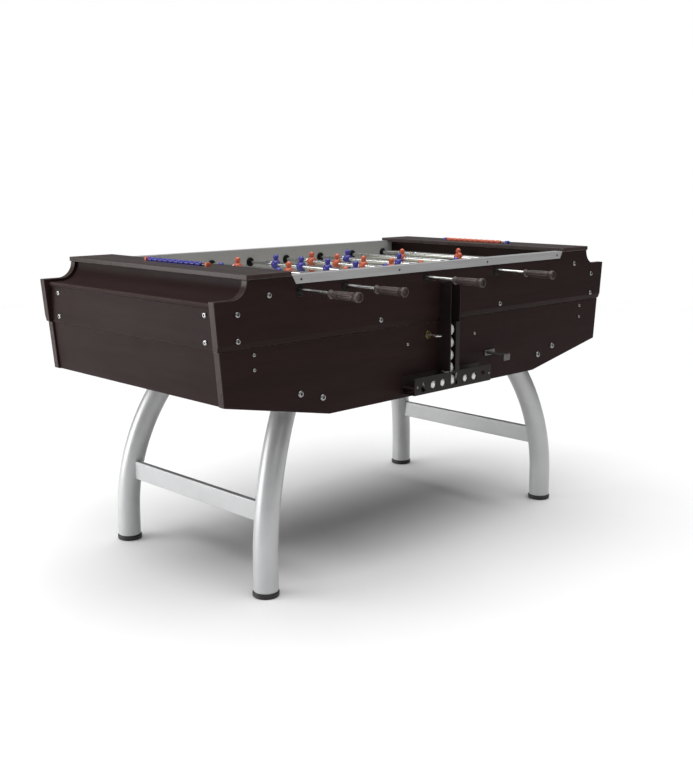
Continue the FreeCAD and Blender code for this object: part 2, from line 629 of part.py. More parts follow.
# ---------------------------------------------------------------- lid hinges at the back seam
HINGE_Y = 379.0
KNUCKLE_R = 4.0
PIN_R = 2.0
HINGE_XS = (-450.0, 0.0, 450.0)
HINGE_HALF = 50.0
KNUCKLE_HALF = 20.0          # half length of the middle knuckle, with its play
KNUCKLE_PLAY = 0.5
LEAF_T = 2.0
LEAF_LOW_Z = 600.0
LEAF_HIGH_Z = 685.0
LEAF_DROP = 2.5              # the lower leaf's top edge lies this far under the seam
ARM_Z = (-3.9, -1.5)         # the lower leaf's arms, from the seam
ARM_RISE = 1.0


def barrel(x0, x1, radius):
    """Part of a hinge's barrel, about the hinge line."""
    return Part.makeCylinder(radius, x1 - x0, Vec(x0, HINGE_Y, SEAM_Z), Vec(1, 0, 0))


def hinge_pair(x):
    """Lower leaf with its two knuckles and pin, and upper leaf with the middle knuckle."""
    x0, x1 = x - HINGE_HALF, x + HINGE_HALF
    gap0, gap1 = x - KNUCKLE_HALF, x + KNUCKLE_HALF
    lower_leaf = box(x0, x1, LOWER_HALF_Y, LOWER_HALF_Y + LEAF_T, LEAF_LOW_Z, SEAM_Z - LEAF_DROP)
    arms = [box(a, b, LOWER_HALF_Y, HINGE_Y, SEAM_Z + ARM_Z[0], SEAM_Z + ARM_Z[1])
            for a, b in ((x0, gap0), (gap1, x1))]
    lower = fuse(lower_leaf, *arms, barrel(x0, gap0, KNUCKLE_R), barrel(gap1, x1, KNUCKLE_R),
                 barrel(x0, x1, PIN_R))
    near, far = gap0 + KNUCKLE_PLAY, gap1 - KNUCKLE_PLAY
    upper_leaf = box(x0, x1, UPPER_HALF_Y, UPPER_HALF_Y + LEAF_T, SEAM_Z + BEVEL_RISE, LEAF_HIGH_Z)
    arm = box(near, far, UPPER_HALF_Y, UPPER_HALF_Y + LEAF_T, SEAM_Z + ARM_RISE, LEAF_HIGH_Z)
    upper = fuse(upper_leaf, arm, barrel(near, far, KNUCKLE_R))
    return lower, upper.cut(barrel(gap0, gap1, PIN_R + RUNNING))


hinges = [hinge_pair(x) for x in HINGE_XS]
keep("lid_hinge_lower", *[lower for lower, _ in hinges])
keep("lid_hinge_upper", *[upper for _, upper in hinges])


# ---------------------------------------------------------------- fasteners
HEAD_RIM = 0.45              # height of the head's upright rim, as a share
HEAD_TOP = 0.62              # radius of its flat top, as a share
SOCKET_R = 0.36
SOCKET_BASE = 0.4


def bolt_head(radius, height, x, y_face, z, side):
    """Low round head standing on a face that looks along side * Y, with a hexagon socket."""
    head = spun([(0, 0), (radius, 0), (radius, height * HEAD_RIM), (radius * HEAD_TOP, height),
                 (0, height)])
    turns = [math.radians(angle) for angle in range(0, 361, 60)]
    hexagon = Part.makePolygon([Vec(radius * SOCKET_R * math.cos(turn), height * SOCKET_BASE,
                                    radius * SOCKET_R * math.sin(turn)) for turn in turns])
    head = head.cut(Part.Face(hexagon).extrude(Vec(0, height, 0)))
    if side < 0:
        head = flip_y(head)
    head.translate(Vec(x, y_face, z))
    return head


def head_on_end(radius, height, y, z):
    """The same head, on the playing box's +X end board."""
    head = bolt_head(radius, height, 0, 0, 0, 1)
    head.rotate(Vec(0, 0, 0), Z_AXIS, -90)
    head.translate(Vec(UPPER_END_X, y, z))
    return head


# radius and height of each kind of head
BOX_BOLT = (7.0, 3.5)
CONNECTOR = (7.0, 2.5)
TRIM_SCREW = (3.0, 1.2)
LEG_BOLT = (8.8, 4.0)
CORNER_SCREW = (4.7, 2.5)
CHANNEL_SCREW = (4.5, 2.0)
TRAY_SCREW = (3.0, 1.5)
# distance from the middle along X, and height
BOX_BOLTS_AT = ((714.5, 663.0), (714.5, 723.5))
CONNECTORS_AT = ((620.0, 760.0), (248.0, 667.5))
TRIM_SCREWS_AT = ((182.0, 790.5), (522.0, 790.5))
CORNER_SCREWS_AT = ((664.0, 591.0), (664.0, 626.0))
CHANNEL_SCREW_AT = (140.0, 592.0)
LEG_BOLTS_AT = ((521.5, 514.5), (448.4, 495.5))
END_BOLTS_AT = ((318.0, 659.5), (318.0, 722.0))      # along Y, and height
TRAY_SCREWS_AT = ((-150.0, 484.0), (152.0, 484.0))
trim_y = UPPER_HALF_Y + TRIM_T
upper_heads = []
lower_heads = []
for side in (-1, 1):
    for end in (-1, 1):
        upper_heads += [bolt_head(*BOX_BOLT, end * x, side * UPPER_HALF_Y, z, side)
                        for x, z in BOX_BOLTS_AT]
        upper_heads += [bolt_head(*CONNECTOR, end * x, side * UPPER_HALF_Y, z, side)
                        for x, z in CONNECTORS_AT]
        upper_heads += [bolt_head(*TRIM_SCREW, end * x, side * trim_y, z, side)
                        for x, z in TRIM_SCREWS_AT]
        lower_heads += [bolt_head(*CORNER_SCREW, end * x, side * LOWER_HALF_Y, z, side)
                        for x, z in CORNER_SCREWS_AT]
        lower_heads += [bolt_head(*LEG_BOLT, end * x, side * LOWER_HALF_Y, z, side)
                        for x, z in LEG_BOLTS_AT]
        x, z = CHANNEL_SCREW_AT
        lower_heads.append(bolt_head(*CHANNEL_SCREW, end * x, side * LOWER_HALF_Y, z, side))
        for y, z in END_BOLTS_AT:
            end_head = head_on_end(*BOX_BOLT, side * y, z)
            upper_heads.append(end_head if end > 0 else flip_x(end_head))
lower_heads += [bolt_head(*TRAY_SCREW, x, CHANNEL_FRONT, z, -1) for x, z in TRAY_SCREWS_AT]
keep("top_fasteners", *upper_heads)
keep("cabinet_fasteners", *lower_heads)

# ---------------------------------------------------------------- rods, men and handles
HANDLE_START = 472.0         # distance of the handle's collar from the middle of the table
HANDLE_END = 566.0
TUBE_OUT = 552.0
INNER_END = 330.0
STOP_R = 8.5
# by number of men: the tube's free end, and the length of the stop ring on it
FREE_END = {1: 248.0, 2: 248.0, 3: 248.0, 5: 268.0}
FREE_RING = {1: 14.0, 2: 14.0, 3: 9.0, 5: 26.0}
KEEPER_STOP = 186.0
KEEPER_RING = 5.0            # half its length
PAIR_RING = (135.0, 143.0)


def tube(men):
    """Outer tube with its stop rings, handle towards +Y, before any rest offset."""
    free = FREE_END[men]
    body = rod_y(TUBE_R, -free, TUBE_OUT)
    length = FREE_RING[men]
    rings = [rod_y(STOP_R, -free, -free + length)]
    if men in (3, 5):
        rings.append(rod_y(STOP_R, free - length, free))
    if men == 2:
        rings.append(rod_y(STOP_R, *PAIR_RING))
    if men == 1:
        rings += [rod_y(STOP_R, stop - KEEPER_RING, stop + KEEPER_RING)
                  for stop in (KEEPER_STOP, -KEEPER_STOP)]
    body = fuse(body, *rings)
    return body.cut(rod_y(INNER_R + RUNNING, -free - 1, HANDLE_START))


HEAD_R = 8.5
HEAD_Z = 21.5
NECK_R = 5.0
NECK_Z = (8.0, 13.0, 20.0)   # the neck's base, then the jaw's lower and upper end
BARREL = ((12.0, -11.0), (14.0, -7.0), (14.5, 0.0), (14.0, 7.0), (12.0, 11.0))
# the figure below the rod: half depth, half width and height
HIPS = (11.0, 11.0, -4.0)
KNEES = (7.0, 8.5, -28.0)
ANKLES = (6.0, 8.5, -48.0)
TOES = (12.0, 11.5, -56.0)
SOLE = (12.0, 11.5, -70.0)


def level(half_x, half_y, z):
    """Level rectangle, for a loft."""
    points = [Vec(-half_x, -half_y, z), Vec(half_x, -half_y, z),
              Vec(half_x, half_y, z), Vec(-half_x, half_y, z)]
    return Part.makePolygon(points + points[:1])


def figure():
    """One player, hung on the tube: head up, foot down, facing along X."""
    neck_base, jaw_base, jaw_top = NECK_Z
    head = Part.makeSphere(HEAD_R, Vec(0, 0, HEAD_Z))
    neck = Part.makeCylinder(NECK_R, jaw_base - neck_base, Vec(0, 0, neck_base))
    jaw = Part.makeCone(NECK_R, HEAD_R - 0.2, jaw_top - jaw_base, Vec(0, 0, jaw_base))
    ends = [(0.0, BARREL[0][1])], [(0.0, BARREL[-1][1])]
    torso = spun(ends[0] + list(BARREL) + ends[1])
    legs = Part.makeLoft([level(*HIPS), level(*KNEES), level(*ANKLES)], True, True)
    shoe = Part.makeLoft([level(*ANKLES), level(*TOES), level(*SOLE)], True, True)
    whole = fuse(head, neck, jaw, torso, legs, shoe)
    return whole.cut(rod_y(TUBE_R, BARREL[0][1] - 1, BARREL[-1][1] + 1))


COLLAR_END = HANDLE_START + 6.0
# the grip past its collar: radius, and distance from the handle's outer end
PINCH = (7.8, 84.0)
GRIP_MID = (9.2, 74.0)
GRIP_WIDE = (10.0, 16.0)
FLARE = (12.0, 10.0)
FLARE_END = (12.5, 3.0)
END_DISH = (8.0, 5.0)
FLUTES = 8
FLUTE_R = 1.5
FLUTE_AT = 10.8


def handle():
    """Grip towards +Y: collar, tapered grip with long flutes, flared and dished end."""
    profile = [(TUBE_R, HANDLE_START), (11.0, HANDLE_START), (11.0, COLLAR_END)]
    profile += [(r, HANDLE_END - back) for r, back in (PINCH, GRIP_MID, GRIP_WIDE, FLARE, FLARE_END)]
    dish_r, dish = END_DISH
    profile += [(11.0, HANDLE_END), (dish_r, HANDLE_END), (dish_r, HANDLE_END - dish),
                (0, HANDLE_END - dish), (0, TUBE_OUT), (TUBE_R, TUBE_OUT)]
    grip = spun(profile)
    for i in range(FLUTES):
        turn = 2 * math.pi * i / FLUTES
        grip = grip.cut(rod_y(FLUTE_R, HANDLE_END - GRIP_MID[1], HANDLE_END - GRIP_WIDE[1],
                              FLUTE_AT * math.cos(turn), FLUTE_AT * math.sin(turn)))
    return grip


def placed(shape, side, shift):
    """A rod's piece, turned towards its handle's side and moved into place."""
    piece = shape.copy() if side > 0 else flip_y(shape)
    piece.translate(shift)
    return piece


man = figure()
grip = handle()
inner = rod_y(INNER_R, 1 - FIELD_HALF_Y - BLIND_DEPTH, INNER_END)
for number, (men, spacing, side, pulled) in RODS.items():
    x = rod_x(number)
    out = Vec(x, side * pulled, ROD_Z)
    keep(f"rod_{number}_inner", placed(inner, side, Vec(x, 0, ROD_Z)))
    keep(f"rod_{number}_tube", placed(tube(men), side, out))
    keep(f"rod_{number}_handle", placed(grip, side, out))
    players = [placed(man, 1, out + Vec(0, (i - (men - 1) / 2) * spacing, 0)) for i in range(men)]
    keep(f"rod_{number}_men", *players)

# ---------------------------------------------------------------- write one file per sub-part
os.makedirs("parts", exist_ok=True)
for name, shape in PARTS.items():
    if not shape.isValid():
        print("NOT VALID", name)
    if any(s.Volume <= 0 for s in shape.Solids):
        print("NEGATIVE VOLUME", name)
    shape.exportStep(f"parts/{name}.step")
print(len(PARTS), "sub-parts")
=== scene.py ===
# %% [markdown]
# # A foosball table, piece by piece
# This lesson dresses a finished engineering model of a foosball table. The model is loaded as a fixed frame:
# its parts say where everything is, and every piece made here rides on one of its moving bodies. Lengths are
# in metres, X runs from goal to goal, the ball channel faces -Y, and Z is up.

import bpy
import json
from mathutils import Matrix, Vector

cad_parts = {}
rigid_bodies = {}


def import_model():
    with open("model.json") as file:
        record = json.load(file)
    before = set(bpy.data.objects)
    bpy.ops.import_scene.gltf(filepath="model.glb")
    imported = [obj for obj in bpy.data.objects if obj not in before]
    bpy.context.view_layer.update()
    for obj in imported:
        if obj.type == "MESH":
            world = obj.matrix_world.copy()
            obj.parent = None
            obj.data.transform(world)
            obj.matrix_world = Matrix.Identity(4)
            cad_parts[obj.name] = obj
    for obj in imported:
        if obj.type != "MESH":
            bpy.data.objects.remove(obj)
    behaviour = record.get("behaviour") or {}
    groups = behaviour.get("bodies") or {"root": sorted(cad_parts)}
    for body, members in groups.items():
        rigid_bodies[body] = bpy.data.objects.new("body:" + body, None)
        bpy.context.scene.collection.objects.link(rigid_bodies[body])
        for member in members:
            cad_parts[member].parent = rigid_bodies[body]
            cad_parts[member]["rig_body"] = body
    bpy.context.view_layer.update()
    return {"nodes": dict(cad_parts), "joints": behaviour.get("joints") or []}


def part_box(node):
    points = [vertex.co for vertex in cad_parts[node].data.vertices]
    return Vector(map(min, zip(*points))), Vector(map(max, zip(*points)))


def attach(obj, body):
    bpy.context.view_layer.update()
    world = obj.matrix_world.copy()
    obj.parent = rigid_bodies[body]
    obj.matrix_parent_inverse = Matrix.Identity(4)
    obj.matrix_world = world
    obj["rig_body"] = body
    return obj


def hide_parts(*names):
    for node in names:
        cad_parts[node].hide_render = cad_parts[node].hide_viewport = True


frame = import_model()

# %% Modules, units and the scene
import json
import math

import bmesh
import bpy
from mathutils import Matrix, Vector

MM = 0.001
FULL_TURN = 2 * math.pi
X = Vector((1, 0, 0))
Y = Vector((0, 1, 0))
Z = Vector((0, 0, 1))
nodes = frame["nodes"]
joints = {joint["name"]: joint for joint in frame["joints"]}
scene = bpy.context.scene
print(len(nodes), "parts and", len(joints), "joints in the frame")

# %% [markdown]
# ## The camera
# A product picture is taken from a little above the table's edge, off one corner, so that the front, one end
# and a sliver of the playing area all show. A camera can be aimed with a constraint or by typing its angles.
# Plain angles are used, because they stay put when the scene is opened again.

# %% Put the camera off the front left corner
EYE = (-2.1980, -2.2193, 1.0332)
TILT = math.radians(78.707)          # from straight down
HEADING = math.radians(-44.741)      # from +Y, towards +X
camera = bpy.data.objects.new("camera", bpy.data.cameras.new("camera"))
scene.collection.objects.link(camera)
camera.location = EYE
camera.rotation_euler = (TILT, 0, HEADING)
camera.data.lens = 49.59
scene.camera = camera
print("camera", round(Vector(EYE).length, 2), "metres from the table's middle")

# %% [markdown]
# ## Helpers for shader nodes
# Every finish below is built from the same few moves: add a node, link or set its inputs, mix two colours, and
# stretch a value to a new range. Short helpers keep each material readable, and they do nothing that a click
# in the shader editor could not do.

# %% Small node helpers


def put(tree, socket, value):
    """Link a socket to an input, or set the input's own value."""
    if isinstance(value, bpy.types.NodeSocket):
        tree.links.new(value, socket)
    elif socket.type == "RGBA":
        socket.default_value = (*value[:3], 1.0)
    else:
        socket.default_value = value


def add(tree, kind, *values, settings=None, **named):
    """A shader node with its inputs set in order, or by name with _ for a space."""
    made = tree.nodes.new("ShaderNode" + kind)
    for key, value in (settings or {}).items():
        setattr(made, key, value)
    for number, value in enumerate(values):
        put(tree, made.inputs[number], value)
    for key, value in named.items():
        put(tree, made.inputs[key.replace("_", " ")], value)
    return made


def combine(tree, operation, first, second):
    """The result of a Math node."""
    return add(tree, "Math", first, second, settings={"operation": operation}).outputs[0]


def spread(tree, value, low, high, new_low=0.0, new_high=1.0):
    """A value's range from low to high, stretched to a new range."""
    made = add(tree, "MapRange", Value=value, From_Min=low, From_Max=high, To_Min=new_low, To_Max=new_high)
    return made.outputs[0]


MIX_FACTOR, MIX_FIRST, MIX_SECOND, MIX_RESULT = 0, 6, 7, 2    # a Mix node's colour sockets


def mix(tree, factor, first, second, blend="MIX"):
    """Two colours mixed by a factor."""
    made = add(tree, "Mix", settings={"data_type": "RGBA", "blend_type": blend})
    put(tree, made.inputs[MIX_FACTOR], factor)
    put(tree, made.inputs[MIX_FIRST], first)
    put(tree, made.inputs[MIX_SECOND], second)
    return made.outputs[MIX_RESULT]


# %% [markdown]
# ## Studio light and floor
# A white studio can be a lit backdrop, an image of a room, or a plain world with a few large lamps. Here a sun
# with a very wide disc stands for the ceiling of a light tent: it lights the whole floor evenly and lays a soft
# shadow under the table. A large lamp at the left draws the long highlights on the end panel and the legs. The
# world is white where the camera sees it and dim elsewhere, so that dark panels stay dark.

# %% Lamps
scene.view_settings.view_transform = "Standard"


def softbox(name, place, aim, size, power):
    """A rectangular area lamp at a place, facing the aim."""
    lamp = bpy.data.objects.new(name, bpy.data.lights.new(name, "AREA"))
    lamp.data.shape = "RECTANGLE"
    lamp.data.size, lamp.data.size_y = size
    lamp.data.energy = power
    lamp.location = place
    lamp.rotation_euler = (Vector(aim) - Vector(place)).to_track_quat("-Z", "Y").to_euler()
    scene.collection.objects.link(lamp)


softbox("left_panel", (-3.3, 2.0, 1.0), (-0.7, 0.0, 0.55), (2.6, 1.8), 84)
softbox("front_fill", (-1.6, -4.2, 2.4), (0.0, 0.0, 0.4), (2.0, 1.4), 8)

tent = bpy.data.objects.new("tent", bpy.data.lights.new("tent", "SUN"))
tent.data.energy = 3.8
tent.data.angle = math.radians(84)         # the wider the disc, the softer the shadow
tent.rotation_euler = (0, math.radians(-1), 0)
scene.collection.objects.link(tent)
print("two lamps and a tent")

# %% The world: white to the camera, dim elsewhere
AMBIENT = 0.10
world = bpy.data.worlds.new("studio")
world.use_nodes = True
scene.world = world
sky = world.node_tree
sky.nodes.clear()
seen = add(sky, "Background", (1, 1, 1), 1.0)
around = add(sky, "Background", (1, 1, 1), AMBIENT)
camera_ray = add(sky, "LightPath").outputs["Is Camera Ray"]
choice = add(sky, "MixShader", camera_ray, around.outputs[0], seen.outputs[0])
add(sky, "OutputWorld", choice.outputs[0])
print("the world gives", AMBIENT, "of white to everything but the camera")

# %% [markdown]
# ## Shared effects as node groups
# Wear and painted edge highlights, grain, scratches, handling marks, moulded skin and brushing all show on more
# than one part. Each is one node group with named inputs, built once and reused, so that a change to the group
# changes the whole table.
# A group gives out only a mask or a height, and the material decides what to do with it.

# %% A frame for the groups


def make_group(name, inputs, outputs):
    """An empty node group with float or vector inputs and float outputs."""
    group = bpy.data.node_groups.new(name, "ShaderNodeTree")
    for label, value in inputs.items():
        kind = "NodeSocketFloat" if isinstance(value, float) else "NodeSocketVector"
        group.interface.new_socket(name=label, in_out="INPUT", socket_type=kind).default_value = value
    for label in outputs:
        group.interface.new_socket(name=label, in_out="OUTPUT", socket_type="NodeSocketFloat")
    return group, group.nodes.new("NodeGroupInput").outputs, group.nodes.new("NodeGroupOutput").inputs


def stretched(tree, stretch):
    """Object coordinates multiplied by a stretch, for streaks that run one way."""
    here = add(tree, "TexCoord").outputs["Object"]
    return add(tree, "VectorMath", here, stretch, settings={"operation": "MULTIPLY"}).outputs[0]


def noise(tree, vector, scale, detail, roughness=0.5, distortion=0.0):
    """A noise texture's value."""
    made = add(tree, "TexNoise", Vector=vector, Scale=scale, Detail=detail,
               Roughness=roughness, Distortion=distortion)
    return made.outputs[0]


def effect(tree, group, **inputs):
    """A shared group placed in a material. Returns its outputs."""
    made = tree.nodes.new("ShaderNodeGroup")
    made.node_tree = group
    for key, value in inputs.items():
        put(tree, made.inputs[key.replace("_", " ")], value)
    return made.outputs


# %% Edge wear and painted edge highlights: where a rounded normal leaves the true one
# One edge mask, used both for real wear and for painted highlights along rounded edges
edge_wear_and_highlight, given, result = make_group("edge_wear_and_highlight", {"Radius": 0.002, "Breakup": 40.0}, ["Mask"])
rounded_normal = add(edge_wear_and_highlight, "Bevel", given["Radius"], settings={"samples": 4}).outputs[0]
true_normal = add(edge_wear_and_highlight, "NewGeometry").outputs["Normal"]
agreement = add(edge_wear_and_highlight, "VectorMath", rounded_normal, true_normal,
                settings={"operation": "DOT_PRODUCT"}).outputs["Value"]
edge_amount = spread(edge_wear_and_highlight, agreement, 0.995, 0.88)
patches = noise(edge_wear_and_highlight, stretched(edge_wear_and_highlight, (1, 1, 1)), given["Breakup"], 4.0, 0.6)
worn = combine(edge_wear_and_highlight, "MULTIPLY", edge_amount, spread(edge_wear_and_highlight, patches, 0.3, 0.6, 0.35, 1.0))
edge_wear_and_highlight.links.new(worn, result["Mask"])

# %% Wood grain: broad soft streaks, and short dark pores
wood_grain, given, result = make_group("wood_grain", {"Stretch": (3.0, 40.0, 40.0)}, ["Streaks", "Pores"])
run = stretched(wood_grain, given["Stretch"])
broad = noise(wood_grain, run, 1.0, 6.0, 0.62, 0.4)
fine = noise(wood_grain, run, 7.0, 3.0, 0.7)
wood_grain.links.new(spread(wood_grain, broad, 0.32, 0.68), result["Streaks"])
wood_grain.links.new(spread(wood_grain, fine, 0.56, 0.68), result["Pores"])

# %% Scratches: thin stretched lines that come in patches
scratches, given, result = make_group("scratches", {"Stretch": (6.0, 90.0, 90.0), "Patches": 9.0}, ["Mask"])
lines = noise(scratches, stretched(scratches, given["Stretch"]), 5.0, 2.0, 0.8)
where = noise(scratches, stretched(scratches, (1, 1, 1)), given["Patches"], 3.0)
cut = combine(scratches, "MULTIPLY", spread(scratches, lines, 0.6, 0.72), spread(scratches, where, 0.45, 0.65))
scratches.links.new(cut, result["Mask"])

# %% Handling marks: the cloudy places that hands and dust leave
handling, given, result = make_group("handling", {"Size": 14.0}, ["Mask"])
cloud = noise(handling, stretched(handling, (1, 1, 1)), given["Size"], 5.0, 0.6, 0.8)
handling.links.new(spread(handling, cloud, 0.3, 0.7), result["Mask"])

# %% Moulded skin: the fine pebble of moulded plastic and sprayed paint
moulded, given, result = make_group("moulded", {"Scale": 900.0}, ["Height"])
skin_place = stretched(moulded, (1, 1, 1))
pebbles = add(moulded, "TexVoronoi", Vector=skin_place, Scale=given["Scale"]).outputs["Distance"]
ripple = noise(moulded, skin_place, given["Scale"], 2.0)
moulded.links.new(combine(moulded, "ADD", pebbles, ripple), result["Height"])

# %% Brushing: hair-fine lines along one direction
brushed, given, result = make_group("brushed", {"Stretch": (12.0, 900.0, 900.0)}, ["Lines"])
hairs = noise(brushed, stretched(brushed, given["Stretch"]), 1.0, 4.0, 0.75)
brushed.links.new(spread(brushed, hairs, 0.3, 0.7), result["Lines"])
print("shared effects:", sorted(group.name for group in bpy.data.node_groups))

# %% [markdown]
# ## Finishes
# Each finish starts from a Principled shader and one or two groups. Colour, roughness and a very small bump
# all change over the surface, since real boards, paint and metal are never one flat value. Values that are the
# same everywhere are set on the shader itself.

# %% The start of every finish


def new_finish(name, roughness, metallic=0.0, **fixed):
    """A material with a Principled shader, and fixed values on the shader's own sockets."""
    material = bpy.data.materials.new(name)
    material.use_nodes = True
    shader = material.node_tree.nodes["Principled BSDF"]
    shader.inputs["Roughness"].default_value = roughness
    shader.inputs["Metallic"].default_value = metallic
    for key, value in fixed.items():
        shader.inputs[key.replace("_", " ")].default_value = value
    return material, material.node_tree, shader


def relief(tree, shader, height, depth):
    """A bump of the given depth in metres."""
    bump = add(tree, "Bump", Height=height, Distance=depth)
    tree.links.new(bump.outputs["Normal"], shader.inputs["Normal"])


# %% Dark laminated board, with the grain along a given direction
BOARD_BROWN = (0.0245, 0.0132, 0.0125)
BOARD_DEEP = (0.0192, 0.0103, 0.0098)
# The paler edge colour is a painted highlight on the rounded edges, broken into patches like wear
BOARD_EDGE_HIGHLIGHT = (0.075, 0.058, 0.054)


def dark_board(name, stretch, brown, edge_share=0.8, specular=0.05):
    """Satin brown-black laminate: faint grain, pores in the bump, and a painted highlight on the rounded edges,
    patchy like wear.
    """
    material, tree, shader = new_finish(name, 0.40, Specular_IOR_Level=specular)
    grain = effect(tree, wood_grain, Stretch=stretch)
    marks = effect(tree, handling, Size=6.0)["Mask"]
    edges = effect(tree, edge_wear_and_highlight, Radius=0.0035, Breakup=30.0)["Mask"]
    colour = mix(tree, grain["Streaks"], BOARD_DEEP, brown)
    colour = mix(tree, combine(tree, "MULTIPLY", grain["Pores"], 0.5), colour, BOARD_DEEP)
    # painted highlight on the rounded edges, patchy like wear
    colour = mix(tree, combine(tree, "MULTIPLY", edges, edge_share), colour, BOARD_EDGE_HIGHLIGHT)
    put(tree, shader.inputs["Base Color"], colour)
    put(tree, shader.inputs["Roughness"], spread(tree, marks, 0.0, 1.0, 0.38, 0.48))
    relief(tree, shader, grain["Pores"], -0.00006)
    return material


board_along_x = dark_board("dark_board_along", (2.5, 34.0, 34.0), BOARD_BROWN)
board_along_y = dark_board("dark_board_across", (34.0, 2.5, 34.0), BOARD_BROWN)
cap_finish = dark_board("cap_board", (30.0, 2.2, 30.0), (0.040, 0.029, 0.026), specular=0.5)

# %% The thin band glued on a board's edges: paler and glossier than its faces


def edge_band(name, light, dark):
    """Plastic edge band with faint drift, fine scratches, and a painted highlight on its rounded corners,
    patchy like wear.
    """
    material, tree, shader = new_finish(name, 0.34, Specular_IOR_Level=0.14)
    marks = effect(tree, handling, Size=12.0)["Mask"]
    cuts = effect(tree, scratches, Stretch=(40.0, 40.0, 40.0), Patches=14.0)["Mask"]
    edges = effect(tree, edge_wear_and_highlight, Radius=0.0026, Breakup=60.0)["Mask"]
    colour = mix(tree, marks, dark, light)
    # the pale corner colour is a painted highlight, patchy like wear
    colour = mix(tree, combine(tree, "MULTIPLY", edges, 0.8), colour, (0.17, 0.145, 0.14))
    put(tree, shader.inputs["Base Color"], colour)
    put(tree, shader.inputs["Roughness"], spread(tree, combine(tree, "ADD", marks, cuts), 0.0, 2.0, 0.24, 0.42))
    relief(tree, shader, cuts, -0.00003)
    return material


board_edge = edge_band("board_edge", (0.046, 0.031, 0.029), (0.036, 0.024, 0.022))

# %% Pale laminates: the liner, the goal walls and the playing surface


def pale_laminate(name, light, dark, roughness, speckle):
    """Smooth laminate with a fine two-tone speckle and worn scuffs."""
    material, tree, shader = new_finish(name, roughness, Specular_IOR_Level=0.4)
    flecks = noise(tree, stretched(tree, (1, 1, 1)), speckle, 3.0, 0.7)
    scuffs = effect(tree, scratches, Stretch=(10.0, 60.0, 60.0), Patches=5.0)["Mask"]
    marks = effect(tree, handling, Size=9.0)["Mask"]
    colour = mix(tree, spread(tree, flecks, 0.35, 0.65), dark, light)
    colour = mix(tree, combine(tree, "MULTIPLY", scuffs, 0.25), colour, dark)
    put(tree, shader.inputs["Base Color"], colour)
    put(tree, shader.inputs["Roughness"], spread(tree, marks, 0.0, 1.0, roughness - 0.06, roughness + 0.08))
    relief(tree, shader, flecks, 0.00002)
    return material


liner_finish = pale_laminate("grey_laminate", (0.44, 0.44, 0.44), (0.38, 0.38, 0.38), 0.38, 420.0)
field_finish = pale_laminate("field_laminate", (0.50, 0.52, 0.44), (0.43, 0.45, 0.37), 0.26, 700.0)
print_finish = pale_laminate("field_print", (0.030, 0.070, 0.045), (0.022, 0.052, 0.034), 0.30, 600.0)

# %% Bright metals: trim, zinc, steel and chrome


def bright_metal(name, light, dark, roughness, metallic, stretch, edge=0.3, **fixed):
    """Metal with brushing along one direction, fine scratches and rubbed edges."""
    material, tree, shader = new_finish(name, roughness, metallic, **fixed)
    lines = effect(tree, brushed, Stretch=stretch)["Lines"]
    cuts = effect(tree, scratches, Stretch=stretch, Patches=20.0)["Mask"]
    rub = effect(tree, edge_wear_and_highlight, Radius=0.0008, Breakup=90.0)["Mask"]
    colour = mix(tree, lines, dark, light)
    colour = mix(tree, combine(tree, "MULTIPLY", rub, edge), colour, (0.86, 0.86, 0.85))
    rough = spread(tree, combine(tree, "ADD", lines, cuts), 0.0, 2.0, roughness * 0.8, roughness * 1.4)
    put(tree, shader.inputs["Base Color"], colour)
    put(tree, shader.inputs["Roughness"], rough)
    relief(tree, shader, lines, 0.00001)
    return material


trim_finish = bright_metal("trim_aluminium", (0.52, 0.52, 0.52), (0.42, 0.42, 0.42), 0.42, 0.45,
                           (5.0, 700.0, 700.0))
chrome_finish = bright_metal("chrome_tube", (0.80, 0.80, 0.78), (0.74, 0.74, 0.72), 0.20, 1.0,
                             (120.0, 1.2, 120.0))
rod_finish = bright_metal("steel_rod", (0.62, 0.62, 0.61), (0.54, 0.54, 0.54), 0.26, 1.0,
                          (120.0, 1.2, 120.0))
zinc_finish = bright_metal("zinc_bolt", (0.36, 0.36, 0.36), (0.25, 0.25, 0.25), 0.30, 1.0,
                           (260.0, 260.0, 90.0))
# The black trim screws' own finish, also used as painted shade inside the zinc heads' sockets
black_screw_and_socket_shade = bright_metal("black_screw_and_socket_shade", (0.060, 0.055, 0.052), (0.030, 0.028, 0.027), 0.40, 0.7,
                           (260.0, 260.0, 90.0), 0.1)
hinge_finish = bright_metal("hinge_steel", (0.46, 0.46, 0.45), (0.32, 0.32, 0.32), 0.38, 0.9,
                            (12.0, 400.0, 400.0))
key_finish = bright_metal("key_steel", (0.82, 0.81, 0.78), (0.66, 0.65, 0.63), 0.24, 0.8,
                          (400.0, 40.0, 400.0))
coin_finish = bright_metal("coin_steel", (0.17, 0.16, 0.16), (0.11, 0.10, 0.10), 0.40, 0.8,
                           (40.0, 400.0, 400.0))
brass_finish = bright_metal("lock_brass", (0.150, 0.115, 0.045), (0.090, 0.068, 0.026), 0.42, 0.9,
                            (260.0, 60.0, 260.0))
wire_finish = bright_metal("score_wire", (0.30, 0.30, 0.30), (0.18, 0.18, 0.18), 0.30, 0.9,
                           (400.0, 12.0, 400.0))

# %% Sprayed paint: the silver legs and the dark sheet metal


